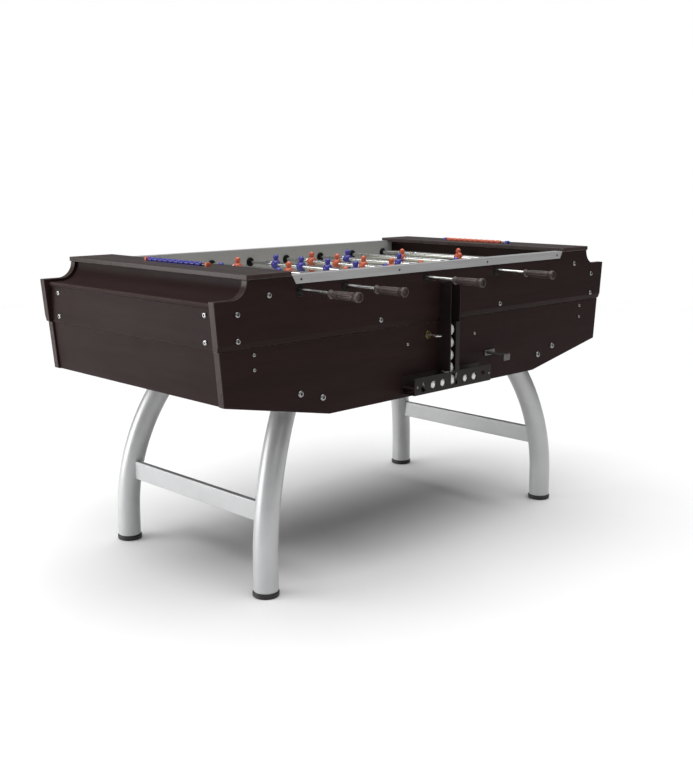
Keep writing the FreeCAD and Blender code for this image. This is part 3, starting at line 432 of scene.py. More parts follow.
def sprayed(name, light, dark, roughness, metallic, chip, skin, **fixed):
    """Spray paint: orange-peel bump, a cloudy tone, and chips along the edges."""
    material, tree, shader = new_finish(name, roughness, metallic, **fixed)
    marks = effect(tree, handling, Size=7.0)["Mask"]
    peel = effect(tree, moulded, Scale=skin)["Height"]
    chips = effect(tree, edge_wear_and_highlight, Radius=0.0012, Breakup=110.0)["Mask"]
    flake = noise(tree, stretched(tree, (1, 1, 1)), 2500.0, 2.0)
    colour = mix(tree, marks, dark, light)
    colour = mix(tree, spread(tree, flake, 0.6, 0.75, 0.0, 0.35), colour, light)
    colour = mix(tree, combine(tree, "MULTIPLY", chips, 0.45), colour, chip)
    put(tree, shader.inputs["Base Color"], colour)
    put(tree, shader.inputs["Roughness"], spread(tree, marks, 0.0, 1.0, roughness - 0.04, roughness + 0.07))
    relief(tree, shader, peel, 0.00002)
    return material


leg_finish = sprayed("leg_paint", (0.56, 0.565, 0.57), (0.49, 0.495, 0.50), 0.36, 0.30,
                     (0.36, 0.36, 0.36), 700.0)
sheet_finish = sprayed("dark_sheet_metal", (0.020, 0.0135, 0.0130), (0.013, 0.009, 0.009), 0.36, 0.0,
                       (0.10, 0.09, 0.085), 900.0, Specular_IOR_Level=0.15)

# %% Moulded plastics: bearings, grips, feet, men, beads and balls


def moulded_plastic(name, light, dark, roughness, skin=900.0, rub=0.25, **fixed):
    """Injection-moulded plastic: slight tone drift, fine skin, rubbed edges."""
    material, tree, shader = new_finish(name, roughness, **fixed)
    marks = effect(tree, handling, Size=40.0)["Mask"]
    height = effect(tree, moulded, Scale=skin)["Height"]
    edges = effect(tree, edge_wear_and_highlight, Radius=0.0010, Breakup=140.0)["Mask"]
    pale = tuple(min(1.0, 0.6 * part + 0.12) for part in light)
    colour = mix(tree, marks, dark, light)
    colour = mix(tree, combine(tree, "MULTIPLY", edges, rub), colour, pale)
    put(tree, shader.inputs["Base Color"], colour)
    put(tree, shader.inputs["Roughness"], spread(tree, marks, 0.0, 1.0, roughness - 0.05, roughness + 0.08))
    relief(tree, shader, height, 0.000012)
    return material


BLUE = ((0.050, 0.043, 0.360), (0.032, 0.027, 0.250))
ORANGE = ((0.640, 0.130, 0.060), (0.480, 0.085, 0.040))
nylon_finish = moulded_plastic("black_nylon", (0.007, 0.006, 0.006), (0.004, 0.004, 0.004), 0.34, rub=0.04,
                               Specular_IOR_Level=0.12)
foot_finish = moulded_plastic("foot_plastic", (0.020, 0.017, 0.016), (0.012, 0.010, 0.010), 0.40)
grip_finish = moulded_plastic("grip_plastic", (0.064, 0.046, 0.042), (0.042, 0.029, 0.027), 0.30)
blue_figure = moulded_plastic("blue_figure", *BLUE, 0.26, Coat_Weight=0.25, Coat_Roughness=0.10)
orange_figure = moulded_plastic("orange_figure", *ORANGE, 0.26, Coat_Weight=0.25, Coat_Roughness=0.10)
blue_bead = moulded_plastic("blue_plastic", *BLUE, 0.32)
orange_bead = moulded_plastic("orange_plastic", *ORANGE, 0.32)
ball_finish = moulded_plastic("white_ball", (0.80, 0.80, 0.78), (0.71, 0.71, 0.69), 0.30, 600.0)

# %% Plywood for what is hidden inside


def raw_plywood():
    """Bare plywood: warm streaks with open pores."""
    material, tree, shader = new_finish("plywood", 0.62)
    grain = effect(tree, wood_grain, Stretch=(2.0, 26.0, 60.0))
    colour = mix(tree, grain["Streaks"], (0.34, 0.22, 0.12), (0.52, 0.37, 0.22))
    colour = mix(tree, combine(tree, "MULTIPLY", grain["Pores"], 0.5), colour, (0.20, 0.12, 0.06))
    put(tree, shader.inputs["Base Color"], colour)
    put(tree, shader.inputs["Roughness"], spread(tree, grain["Streaks"], 0.0, 1.0, 0.55, 0.72))
    relief(tree, shader, grain["Pores"], -0.0001)
    return material


plywood = raw_plywood()
print(len(bpy.data.materials), "finishes")

# %% [markdown]
# ## Helpers for pieces
# A new piece needs four things: a mesh, a finish, the body that it moves with and the frame's part that it
# stands for. One function does that for every piece, so none is forgotten.

# %% Give a mesh its finish and its place in the frame


def smooth(mesh, angle=32.0):
    """Smooth shading, with edges sharper than the angle left crisp."""
    mesh.shade_smooth()
    mesh.set_sharp_from_angle(angle=math.radians(angle))


def fit(name, mesh, finish, slot, body, *stands_for):
    """An object for the mesh, riding on a body, in place of the named parts."""
    mesh.materials.append(finish)
    piece = bpy.data.objects.new(name, mesh)
    scene.collection.objects.link(piece)
    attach(piece, body)
    if stands_for:
        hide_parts(*stands_for)
    return piece


def mesh_of(shape, name, angle=32.0):
    """Turn a finished bmesh into a smooth-shaded mesh."""
    bmesh.ops.recalc_face_normals(shape, faces=shape.faces)
    mesh = bpy.data.meshes.new(name)
    shape.to_mesh(mesh)
    shape.free()
    if "custom_normal" in mesh.attributes:
        mesh.attributes.remove(mesh.attributes["custom_normal"])
    smooth(mesh, angle)
    return mesh


def aimed(point, direction):
    """A matrix that puts local +Z along a direction, at a point."""
    return Matrix.Translation(point) @ Vector(direction).to_track_quat("Z", "Y").to_matrix().to_4x4()


# %% [markdown]
# ## Softened boards
# A sheet of board from the frame has the right outline, but its corners are as sharp as a drawing. A modifier
# could round them, or the corners can be cut in the mesh. Here the part's mesh is copied, its split corners
# are welded, its flat faces are made whole again, and only true corners are bevelled, so that drilled holes
# keep their round walls.

# %% Weld a copy of a part, and round its corners
WELD = 0.01 * MM
FLAT = math.radians(0.4)
CORNER = math.radians(30)
SLIGHT_CORNER = math.radians(10)
LONG_EDGE = 60 * MM


def welded(node, whole_faces=True):
    """A copy of a part's mesh with its corners joined up."""
    shape = bmesh.new()
    shape.from_mesh(nodes[node].data)
    bmesh.ops.remove_doubles(shape, verts=shape.verts, dist=WELD)
    if whole_faces:
        bmesh.ops.dissolve_limit(shape, angle_limit=FLAT, verts=shape.verts, edges=shape.edges)
    return shape


def is_corner(edge):
    """True for an edge to round: a square corner, or a long slight one."""
    if len(edge.link_faces) != 2:
        return False
    bend = edge.calc_face_angle(0.0)
    return bend > CORNER or (bend > SLIGHT_CORNER and edge.calc_length() > LONG_EDGE)


def softened(name, node, finish, slot, width, segments=3, extra=None):
    """A part with rounded corners. extra can add more shape before it is shown."""
    shape = welded(node)
    corners = [edge for edge in shape.edges if is_corner(edge)]
    bmesh.ops.bevel(shape, geom=corners, offset=width, segments=segments, profile=0.5,
                    affect="EDGES", clamp_overlap=False)
    if extra:
        extra(shape)
    piece = fit(name, mesh_of(shape, name), finish, slot, nodes[node]["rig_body"], node)
    even = piece.modifiers.new("even_normals", "WEIGHTED_NORMAL")
    even.keep_sharp = True
    return piece


# %% The boards of the playing box and the cabinet
ROUND = 1.6 * MM
box_sides = softened("playing_box_sides", "upper_sides", board_along_x, "dark_board", ROUND)
lower_panels = softened("cabinet_sides", "lower_sides", board_along_x, "dark_board", ROUND)
box_ends = softened("playing_box_ends", "upper_ends", board_along_y, "dark_board", 1.2 * MM)
softened("cabinet_boards", "lower_boards", board_along_y, "dark_board", 1.2 * MM)
softened("cove_sheets_and_rails", "cove_panels", board_along_y, "dark_board", 0.8 * MM)
caps = softened("cap_boards", "end_caps", cap_finish, "cap_board", 1.5 * MM)
softened("liner_and_goal_walls", "inner_walls", liner_finish, "grey_laminate", 0.5 * MM, 2)
softened("field_panel", "playfield", field_finish, "field_laminate", 0.5 * MM, 2)
softened("edge_trims", "side_trims", trim_finish, "trim_aluminium", 0.35 * MM, 2)

# %% Edge bands on the side boards' edges, and on the end boards' rounded top


def banded(piece, on_edge):
    """Give the edge band to the faces whose normal is picked by a rule."""
    piece.data.materials.append(board_edge)
    for face in piece.data.polygons:
        if on_edge(face.normal):
            face.material_index = 1


for piece in (box_sides, lower_panels):
    banded(piece, lambda normal: abs(normal.y) < 0.6)
banded(box_ends, lambda normal: normal.z > 0.35)
banded(caps, lambda normal: normal.z < 0.3)
nodes["ball_gutter"].data.materials.clear()
nodes["ball_gutter"].data.materials.append(plywood)

# %% [markdown]
# ## Lines on the playing field
# The markings of a real field are printed. They could be drawn by the shader, but a thin inlaid shape keeps
# crisp edges at any distance, and it needs no texture space. Each line is a strip a fraction of a millimetre
# thick, and each circle is a ring of the same thickness.

# %% Strips and rings
LINE = 5 * MM
PRINT_T = 0.15 * MM
field_low, field_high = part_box("playfield")
half_x, half_y = field_high.x, field_high.y
paint = bmesh.new()


def slab(shape, x0, x1, y0, y1, z0, z1):
    """A block between two corners."""
    middle = Vector((x0 + x1, y0 + y1, z0 + z1)) / 2
    size = Matrix.Diagonal((x1 - x0, y1 - y0, z1 - z0, 1))
    return bmesh.ops.create_cube(shape, size=1, matrix=Matrix.Translation(middle) @ size)["verts"]


def strip(x0, x1, y0, y1):
    """A printed line as a thin block on the field."""
    slab(paint, x0, x1, y0, y1, field_high.z, field_high.z + PRINT_T)


def ring(centre_x, radius, start, stop, steps=48):
    """A printed arc between two angles."""
    loops = []
    for step in range(steps + 1):
        angle = start + (stop - start) * step / steps
        out = Vector((math.cos(angle), math.sin(angle), 0))
        base = Vector((centre_x, 0, field_high.z))
        corners = [base + out * (radius + side * LINE / 2) + Z * rise
                   for side, rise in ((-1, 0), (1, 0), (1, PRINT_T), (-1, PRINT_T))]
        loops.append([paint.verts.new(corner) for corner in corners])
    for before, after in zip(loops, loops[1:]):
        for i in range(4):
            paint.faces.new((before[i], before[i - 1], after[i - 1], after[i]))
    paint.faces.new(loops[0])
    paint.faces.new(reversed(loops[-1]))


# %% The halfway line, the circle and both goal areas
AREA_DEEP = 150 * MM
AREA_WIDE = 180 * MM
MIDDLE_CIRCLE = 92 * MM
MARGIN = 12 * MM
strip(-LINE / 2, LINE / 2, -half_y + MARGIN, half_y - MARGIN)
ring(0, MIDDLE_CIRCLE, 0, FULL_TURN - 0.001, 96)
for end in (-1, 1):
    goal_x = end * (half_x - MARGIN)
    area_x = goal_x - end * AREA_DEEP
    near, far = sorted((goal_x, area_x))
    strip(area_x - LINE / 2, area_x + LINE / 2, -AREA_WIDE, AREA_WIDE)
    strip(goal_x - LINE / 2, goal_x + LINE / 2, -half_y + MARGIN, half_y - MARGIN)
    for side in (-1, 1):
        strip(near, far, side * AREA_WIDE - LINE / 2, side * AREA_WIDE + LINE / 2)
    facing = math.pi if end > 0 else 0.0
    ring(area_x, 60 * MM, facing - math.pi / 2, facing + math.pi / 2)
for side in (-1, 1):
    strip(-half_x + MARGIN, half_x - MARGIN, side * (half_y - MARGIN) - LINE / 2,
          side * (half_y - MARGIN) + LINE / 2)
lines_mesh = mesh_of(paint, "field_lines")
fit("field_lines", lines_mesh, print_finish, "field_laminate", nodes["playfield"]["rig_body"])
print("field lines have", len(lines_mesh.polygons), "faces")

# %% [markdown]
# ## Turned pieces
# Bearings, beads, balls, bolts, tubes and grips are all made on a lathe or look as if they were. A screw
# modifier could spin a profile, but a small lathe in code can also change the shape on its way round, which
# gives hexagon sockets, flutes and an eight-sided grip end from the same few lines.

# %% A lathe for bmesh


def eased(points, radius, steps=3):
    """A profile with each inner corner replaced by a short curve."""
    made = [points[0]]
    for before, corner, after in zip(points, points[1:-1], points[2:]):
        corner, before, after = Vector(corner), Vector(before), Vector(after)
        reach = min(radius, (before - corner).length * 0.45, (after - corner).length * 0.45)
        start = corner + (before - corner).normalized() * reach
        stop = corner + (after - corner).normalized() * reach
        for step in range(steps + 1):
            share = step / steps
            made.append(tuple(start.lerp(corner, share).lerp(corner.lerp(stop, share), share)))
    return made + [points[-1]]


def turned(shape, profile, place, steps=40, bored=False, outline=None, second_from=None):
    """Spin (radius, height) points round local Z. A bored piece joins its last point to its first.
    outline(angle, number) can swell the radius of each point, and from the profile point
    second_from on, the faces take the mesh's second finish."""
    rings = []
    for number, (radius, height) in enumerate(profile):
        if radius < WELD:
            rings.append([shape.verts.new(place @ Vector((0, 0, height)))])
            continue
        made = []
        for step in range(steps):
            angle = FULL_TURN * step / steps
            reach = radius * (outline(angle, number) if outline else 1.0)
            point = Vector((reach * math.cos(angle), reach * math.sin(angle), height))
            made.append(shape.verts.new(place @ point))
        rings.append(made)
    pairs = list(zip(rings, rings[1:])) + ([(rings[-1], rings[0])] if bored else [])
    for number, (low, high) in enumerate(pairs):
        for step in range(steps):
            corners = [low[step % len(low)], low[(step + 1) % len(low)],
                       high[(step + 1) % len(high)], high[step % len(high)]]
            face = shape.faces.new(list(dict.fromkeys(corners)))
            if second_from is not None and number >= second_from:
                face.material_index = 1


def polygon(sides, angle):
    """How far a regular polygon's edge lies from its middle, as a share of its corner's distance."""
    wedge = FULL_TURN / sides
    return math.cos(wedge / 2) / math.cos((angle + wedge / 2) % wedge - wedge / 2)


# %% Find the separate solids of a part


def solids(node):
    """Each separate solid of a part, as its list of corners."""
    shape = welded(node, whole_faces=False)
    found, seen_verts = [], set()
    for first in shape.verts:
        if first in seen_verts:
            continue
        seen_verts.add(first)
        waiting, group = [first], []
        while waiting:
            vert = waiting.pop()
            group.append(vert.co.copy())
            for edge in vert.link_edges:
                other = edge.other_vert(vert)
                if other not in seen_verts:
                    seen_verts.add(other)
                    waiting.append(other)
        found.append(group)
    shape.free()
    return found


def span(points):
    """The lowest and highest corner of a list of points."""
    low = Vector([min(point[i] for point in points) for i in range(3)])
    high = Vector([max(point[i] for point in points) for i in range(3)])
    return low, high


# %% [markdown]
# ## Bolt heads
# The table comes apart with socket-headed bolts, cross-headed connectors and small trim screws. Their places
# and sizes are read from the frame: each solid in the fastener group gives its middle, its radius and the way
# that it faces. A head is one lathe pass whose inner rings turn from round to hexagonal. The sockets of the
# zinc heads are given a dark finish as painted shade.

# %% One head


def bolt_head(shape, radius, height, place, sides=6, socket_painted_shade=False):
    """A button head: flange, dome, flat top, and a socket with the given number of sides. The socket's faces
    can take the mesh's second, dark finish as painted shade.
    """
    dome = [(radius * 0.985, height * 0.30), (radius * 0.95, height * 0.55), (radius * 0.86, height * 0.80),
            (radius * 0.74, height * 0.95), (radius * 0.62, height)]
    rim = [(0, 0), (radius, 0), (radius, height * 0.15)]
    socket = [(radius * 0.46, height), (radius * 0.43, height * 0.93), (radius * 0.42, height * 0.35),
              (radius * 0.30, height * 0.30), (0, height * 0.25)]
    first_socket = len(rim) + len(dome)

    def outline(angle, number):
        return polygon(sides, angle) if number >= first_socket else 1.0

    # the socket's faces can take the second, dark finish: painted shade in the recess
    turned(shape, rim + dome + socket, place, 48, outline=outline,
           second_from=first_socket if socket_painted_shade else None)


def facing_of(points):
    """Middle, outward direction, radius and height of a head that lies flat on a side or an end."""
    low, high = span(points)
    middle, size = (low + high) / 2, high - low
    if size.y < size.x:
        return middle, Y * math.copysign(1, middle.y), size.x / 2, size.y
    return middle, X * math.copysign(1, middle.x), size.z / 2, size.x


# %% Heads on the sides and ends
SMALL = 5 * MM                            # a smaller head has a cross, a larger one a hexagon
TINY = 3.5 * MM                           # only the trim's screws are smaller
for name, node in (("playing_box_bolts", "top_fasteners"), ("cabinet_bolts", "cabinet_fasteners")):
    heads = bmesh.new()
    screws = bmesh.new()
    for group in solids(node):
        middle, facing, radius, height = facing_of(group)
        foot = middle - facing * height / 2
        on_trim = radius < TINY and node == "top_fasteners"
        sides = 4 if radius < SMALL else 6
        bolt_head(screws if on_trim else heads, radius, height, aimed(foot, facing), sides, not on_trim)
    body = nodes[node]["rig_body"]
    piece = fit(name, mesh_of(heads, name, 28), zinc_finish, "zinc_bolt", body, node)
    # the second finish is painted shade in the sockets of the zinc heads
    piece.data.materials.append(black_screw_and_socket_shade)
    if screws.faces:
        fit("trim_screws", mesh_of(screws, "trim_screws", 28), black_screw_and_socket_shade, "zinc_bolt", body, node)
    print(name, len(piece.data.polygons), "faces")

# %% [markdown]
# ## Rod bearings
# Each rod runs in black nylon bearings: a thick round flange inside the field, a bush through the wall, and on
# the handle's side a thinner collar outside. They are read from the frame as solids, and turned with a bore,
# so that the rod really passes through them.

# %% Sixteen bearings
ROD_RADIUS = 6.5 * MM
core_low, core_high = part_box("rod_1_inner")
CORE_RADIUS = (core_high.x - core_low.x) / 2
RUNNING = 0.1 * MM                        # room for a sliding fit
FLANGE_T = 5 * MM
bearings = bmesh.new()
for group in solids("rod_bearings"):
    low, high = span(group)
    middle = (low + high) / 2
    side = math.copysign(1, middle.y)
    through = max(abs(low.y), abs(high.y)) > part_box("upper_sides")[1].y
    bore = (ROD_RADIUS if through else CORE_RADIUS) + RUNNING
    flange, length = (high.x - low.x) / 2, high.y - low.y
    bush = flange - 2 * MM
    start = Vector((middle.x, side * min(abs(low.y), abs(high.y)), middle.z))
    profile = [(bore, 0.6 * MM), (bore + 0.6 * MM, 0), (flange - 4 * MM, 0), (flange - 3.6 * MM, 0.7 * MM),
               (flange - 1.5 * MM, 0.7 * MM), (flange, 2.2 * MM), (flange, FLANGE_T), (bush, FLANGE_T)]
    if through:
        profile += [(bush, length - 2 * MM), (flange, length - 2 * MM), (flange - 0.8 * MM, length - 0.4 * MM),
                    (bore + 1.5 * MM, length), (bore, length - 0.8 * MM)]
    else:
        profile += [(bush, length), (bore, length)]
    turned(bearings, eased(profile, 0.5 * MM, 2), aimed(start, Y * side), 48, bored=True)
fit("bearings", mesh_of(bearings, "bearings"), nylon_finish, "black_nylon", nodes["rod_bearings"]["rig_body"],
    "rod_bearings")

# %% [markdown]
# ## Score counters
# Ten beads slide on a wire between two posts. The beads of each end are one team's colour, and the posts are
# the other's. Beads are turned barrels with a bore, and the posts are small blocks with rounded corners.

# %% Beads
for node, finish, slot in (("score_beads_left", blue_bead, "blue_plastic"),
                           ("score_beads_right", orange_bead, "orange_plastic")):
    beads = bmesh.new()
    for group in solids(node):
        low, high = span(group)
        middle, reach, length = (low + high) / 2, (high.x - low.x) / 2, high.y - low.y
        bore = 1.7 * MM
        profile = [(bore, 0.4 * MM), (bore + 0.5 * MM, 0), (reach - 2 * MM, 0), (reach - 0.4 * MM, 3 * MM),
                   (reach, length * 0.3), (reach, length * 0.7), (reach - 0.4 * MM, length - 3 * MM),
                   (reach - 2 * MM, length), (bore + 0.5 * MM, length), (bore, length - 0.4 * MM)]
        place = aimed(Vector((middle.x, low.y, middle.z)), Y)
        turned(beads, eased(profile, 1.2 * MM, 3), place, 36, bored=True)
    name = node.replace("score_beads", "bead_row")
    fit(name, mesh_of(beads, name), finish, slot, nodes[node]["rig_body"], node)

# %% Posts and wires
POST_SIZE = Vector((14, 10, 13)) * MM
for group in solids("score_rails"):
    low, high = span(group)
    side = math.copysign(1, low.x)
    x = (low.x + high.x) / 2
    posts = bmesh.new()
    for end in (-1, 1):
        inner = end * (high.y - POST_SIZE.y)
        y0, y1 = sorted((inner, end * high.y))
        slab(posts, low.x, high.x, y0, y1, low.z, low.z + POST_SIZE.z)
    bmesh.ops.bevel(posts, geom=posts.edges[:], offset=1.6 * MM, segments=4, profile=0.5, affect="EDGES")
    label = "left" if side < 0 else "right"
    finish, slot = (orange_bead, "orange_plastic") if side < 0 else (blue_bead, "blue_plastic")
    body = nodes["score_rails"]["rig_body"]
    fit("score_posts_" + label, mesh_of(posts, "posts_" + label), finish, slot, body, "score_rails")
    wire = bmesh.new()
    bead_low, bead_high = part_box("score_beads_" + label)
    wire_z = (bead_low.z + bead_high.z) / 2
    length = 2 * (high.y - POST_SIZE.y) + 2 * MM
    profile = [(0, 0), (1.5 * MM, 0), (1.5 * MM, length), (0, length)]
    turned(wire, profile, aimed(Vector((x, -length / 2, wire_z)), Y), 20)
    fit("score_wire_" + label, mesh_of(wire, "wire_" + label), wire_finish, "score_wire", body)

# %% [markdown]
# ## Balls
# A foosball is moulded in two halves, so it has a fine seam round its middle. A sphere primitive would do for
# the outline, but a turned half circle lets the seam be cut into the shape, and each ball is tipped a little
# differently, as balls that have rolled into place are.

# %% Nine balls with seams
SEAM_DEPTH = 0.12 * MM
BALL_STEPS = 28
balls = bmesh.new()
for number, group in enumerate(solids("balls")):
    low, high = span(group)
    reach = (high.z - low.z) / 2
    profile = []
    for step in range(BALL_STEPS + 1):
        angle = math.pi * step / BALL_STEPS
        depth = SEAM_DEPTH if step == BALL_STEPS // 2 else 0.0
        profile.append((max(0.0, (reach - depth) * math.sin(angle)), -(reach - depth) * math.cos(angle)))
    profile[0], profile[-1] = (0, -reach), (0, reach)
    tip = Vector((math.sin(2.4 * number), math.cos(1.7 * number), 0.6 + math.sin(number)))
    turned(balls, profile, aimed((low + high) / 2, tip), 48)
fit("table_balls", mesh_of(balls, "table_balls", 60), ball_finish, "white_ball", nodes["balls"]["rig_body"],
    "balls")

# %% [markdown]
# ## Legs
# Each leg is a steel tube, straight at the foot and then bent inwards on a long arc, with a plate welded on
# its top. A curve with a round bevel would give the tube, but the top has to be cut along the sloping floor
# of the cabinet, so the tube is swept ring by ring in a mesh and then cut with a plane.

# %% The bend
leg_low, leg_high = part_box("legs")
TUBE_RADIUS = 31.75 * MM
LEG_X = leg_high.x - TUBE_RADIUS
LEG_Y = leg_high.y - TUBE_RADIUS
LEG_BASE = leg_low.z
BEND_Z = 80 * MM
BEND_RADIUS = 656 * MM
BEND_SIDE = math.radians(23.3)
inward = Vector((-math.cos(BEND_SIDE), -math.sin(BEND_SIDE), 0))
across = inward.cross(Z).normalized()
print("legs stand at", round(LEG_X, 4), round(LEG_Y, 4))


def on_bend(turn):
    """Point and direction of the leg's middle line, for the leg at +X +Y."""
    point = Vector((LEG_X, LEG_Y, BEND_Z)) + inward * BEND_RADIUS * (1 - math.cos(turn))
    return point + Z * BEND_RADIUS * math.sin(turn), inward * math.sin(turn) + Z * math.cos(turn)


# %% The sloping floor that the plates sit under
slope_shape = welded("lower_boards")
for face in slope_shape.faces:
    if face.normal.z < -0.9 and face.normal.x > 0.05 and face.calc_center_median().x > 0:
        leg_plane_normal, leg_plane_point = -face.normal.copy(), face.calc_center_median().copy()
slope_shape.free()
PLATE_T = 6 * MM
under_plate = leg_plane_point - leg_plane_normal * PLATE_T
LOWEST_TURN, HIGHEST_TURN = 0.3, 0.9      # the bend meets the plate between these, in radians
HALVINGS = 30


def reach_plane(angle, radius):
    """The point where a line on the tube's surface meets the plate's underside."""
    def surface(turn):
        point, along = on_bend(turn)
        out = along.cross(across).normalized()
        return point + (out * math.cos(angle) + across * math.sin(angle)) * radius

    low, high = LOWEST_TURN, HIGHEST_TURN
    for _ in range(HALVINGS):
        middle = (low + high) / 2
        below = (surface(middle) - under_plate).dot(leg_plane_normal) < 0
        low, high = (middle, high) if below else (low, middle)
    return surface(low)


# %% Sweep one leg ring by ring
AROUND = 56
BEND_STEPS = 44
TOP_TURN = 0.70                           # past the plate, before the cut
LIP = 1 * MM


def ring_at(shape, point, along, radius):
    """A ring of corners round the leg's middle line."""
    out = along.cross(across).normalized()
    return [shape.verts.new(point + (out * math.cos(a) + across * math.sin(a)) * radius)
            for a in (FULL_TURN * i / AROUND for i in range(AROUND))]


def join_rings(shape, first, second):
    """Faces between two rings."""
    for i in range(len(first)):
        j = (i + 1) % len(first)
        shape.faces.new((first[i], first[j], second[j], second[i]))


def leg_shape():
    """The +X +Y leg's tube, with a rolled lower lip, cut off under the plate."""
    shape = bmesh.new()
    foot = Vector((LEG_X, LEG_Y, 0))
    stations = [(foot + Z * LEG_BASE, Z, TUBE_RADIUS - LIP), (foot + Z * (LEG_BASE + LIP), Z, TUBE_RADIUS),
                (foot + Z * BEND_Z, Z, TUBE_RADIUS)]
    for step in range(1, BEND_STEPS + 1):
        stations.append((*on_bend(TOP_TURN * step / BEND_STEPS), TUBE_RADIUS))
    rings = [ring_at(shape, *station) for station in stations]
    for low, high in zip(rings, rings[1:]):
        join_rings(shape, low, high)
    everything = shape.verts[:] + shape.edges[:] + shape.faces[:]
    bmesh.ops.bisect_plane(shape, geom=everything, plane_co=under_plate, plane_no=leg_plane_normal,
                           clear_outer=True)
    bmesh.ops.holes_fill(shape, edges=[e for e in shape.edges if e.is_boundary], sides=0)
    return shape


# %% The weld under the plate
WELD_RADIUS = 2.4 * MM
WELD_UNEVEN = 0.35 * MM
WELD_SIDES = 10


def weld_bead(shape):
    """A thin uneven ring where the tube meets the plate."""
    path = [reach_plane(FULL_TURN * i / AROUND, TUBE_RADIUS + 0.6 * MM) for i in range(AROUND)]
    rings = []
    for i, point in enumerate(path):
        along = (path[(i + 1) % AROUND] - path[i - 1]).normalized()
        side = along.cross(leg_plane_normal)
        thick = WELD_RADIUS + WELD_UNEVEN * math.sin(i * 2.6)
        rings.append([shape.verts.new(point + (side * math.cos(a) + leg_plane_normal * math.sin(a)) * thick)
                      for a in (FULL_TURN * k / WELD_SIDES for k in range(WELD_SIDES))])
    for i in range(AROUND):
        join_rings(shape, rings[i - 1], rings[i])


# %% The plate and its bolts, then all four legs
PLATE_HALF = 50 * MM
PLATE_CORNER = 9 * MM
PLATE_Z = 478 * MM
PLATE_SHIFT = 8 * MM
BOLT_INSET = 11 * MM
plate_seat, _ = on_bend(math.asin((PLATE_Z - BEND_Z) / BEND_RADIUS))
plate_centre = Vector((plate_seat.x + PLATE_SHIFT, plate_seat.y, 0))
plate_centre.z = (leg_plane_point - plate_centre).dot(leg_plane_normal) / leg_plane_normal.z
plate_turn = Z.rotation_difference(leg_plane_normal).to_matrix().to_4x4()
plate_place = Matrix.Translation(plate_centre) @ plate_turn


def mounting_plate(shape):
    """A square plate with rounded corners and four bolts under it."""
    block = bmesh.new()
    slab(block, -PLATE_HALF, PLATE_HALF, -PLATE_HALF, PLATE_HALF, -PLATE_T, 0)
    upright = [e for e in block.edges if abs(e.verts[0].co.z - e.verts[1].co.z) > PLATE_T / 2]
    bmesh.ops.bevel(block, geom=upright, offset=PLATE_CORNER, segments=5, profile=0.5, affect="EDGES")
    block.transform(plate_place)
    flat = bpy.data.meshes.new("plate")
    block.to_mesh(flat)
    block.free()
    shape.from_mesh(flat)
    bpy.data.meshes.remove(flat)
    for x in (-1, 1):
        for y in (-1, 1):
            spot = Vector((x * (PLATE_HALF - BOLT_INSET), y * (PLATE_HALF - BOLT_INSET), -PLATE_T))
            place = plate_place @ Matrix.Translation(spot) @ Matrix.Rotation(math.pi, 4, "X")
            bolt_head(shape, 6 * MM, 3 * MM, place)


# %% All four legs
one_leg = leg_shape()
weld_bead(one_leg)
mounting_plate(one_leg)
one_leg_mesh = mesh_of(one_leg, "one_leg")


def mirrored(mesh, corners):
    """One bmesh that holds the mesh flipped into each (x sign, y sign) corner."""
    shape = bmesh.new()
    for sign_x, sign_y in corners:
        copy = mesh.copy()
        copy.transform(Matrix.Diagonal((sign_x, sign_y, 1, 1)))
        if sign_x * sign_y < 0:
            copy.flip_normals()
        shape.from_mesh(copy)
        bpy.data.meshes.remove(copy)
    return shape


CORNERS = ((-1, -1), (1, -1), (-1, 1), (1, 1))
fit("tube_legs", mesh_of(mirrored(one_leg_mesh, CORNERS), "tube_legs"), leg_finish, "leg_paint",
    nodes["legs"]["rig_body"], "legs")
print("one leg has", len(one_leg_mesh.polygons), "faces")
softened("leg_crossbars", "crossbars", leg_finish, "leg_paint", 0.6 * MM, 2)

# %% [markdown]
# ## Feet
# Dark plastic caps close the tubes and keep the floor from being scratched. Each is a turned disc with a
# rounded lip and a shallow groove for grip, mirrored to the four corners.

# %% Four foot caps
foot_low, foot_high = span(solids("foot_caps")[0])
foot_radius = (foot_high.x - foot_low.x) / 2
plug_radius = TUBE_RADIUS - 3.2 * MM
plug_top = LEG_BASE + 14 * MM
foot = bmesh.new()
foot_profile = [(0, 0), (foot_radius - 3 * MM, 0), (foot_radius - 0.6 * MM, 1.6 * MM), (foot_radius, 4 * MM),
                (foot_radius - 0.7 * MM, 5.2 * MM), (foot_radius, 6.4 * MM), (foot_radius, LEG_BASE - 2.6 * MM),
                (foot_radius - 1.2 * MM, LEG_BASE - 0.4 * MM), (foot_radius - 3 * MM, LEG_BASE),
                (plug_radius, LEG_BASE), (plug_radius, plug_top), (0, plug_top)]
turned(foot, eased(foot_profile, 0.8 * MM, 2), aimed(Vector((LEG_X, LEG_Y, 0)), Z), 56)
one_foot = mesh_of(foot, "one_foot")
fit("leg_feet", mesh_of(mirrored(one_foot, CORNERS), "leg_feet"), foot_finish, "foot_plastic",
    nodes["foot_caps"]["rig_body"], "foot_caps")

# %% [markdown]
# ## Ball channel, tray, lock and coin slide
# These are folded sheet metal and small machined parts. Their shapes in the frame are right, so they are
# softened by a few tenths of a millimetre, which is what a deburred metal edge has, and given their finishes.

# %% Sheet metal and the coin slide
softened("channel_sheet", "ball_channel", sheet_finish, "dark_sheet_metal", 0.5 * MM, 2)
softened("tray_sheet", "ball_tray", sheet_finish, "dark_sheet_metal", 0.4 * MM, 2)
softened("coin_mouth", "coin_plate", coin_finish, "coin_steel", 0.8 * MM, 3)
softened("coin_pusher_arm", "coin_slide", coin_finish, "coin_steel", 0.4 * MM, 2)

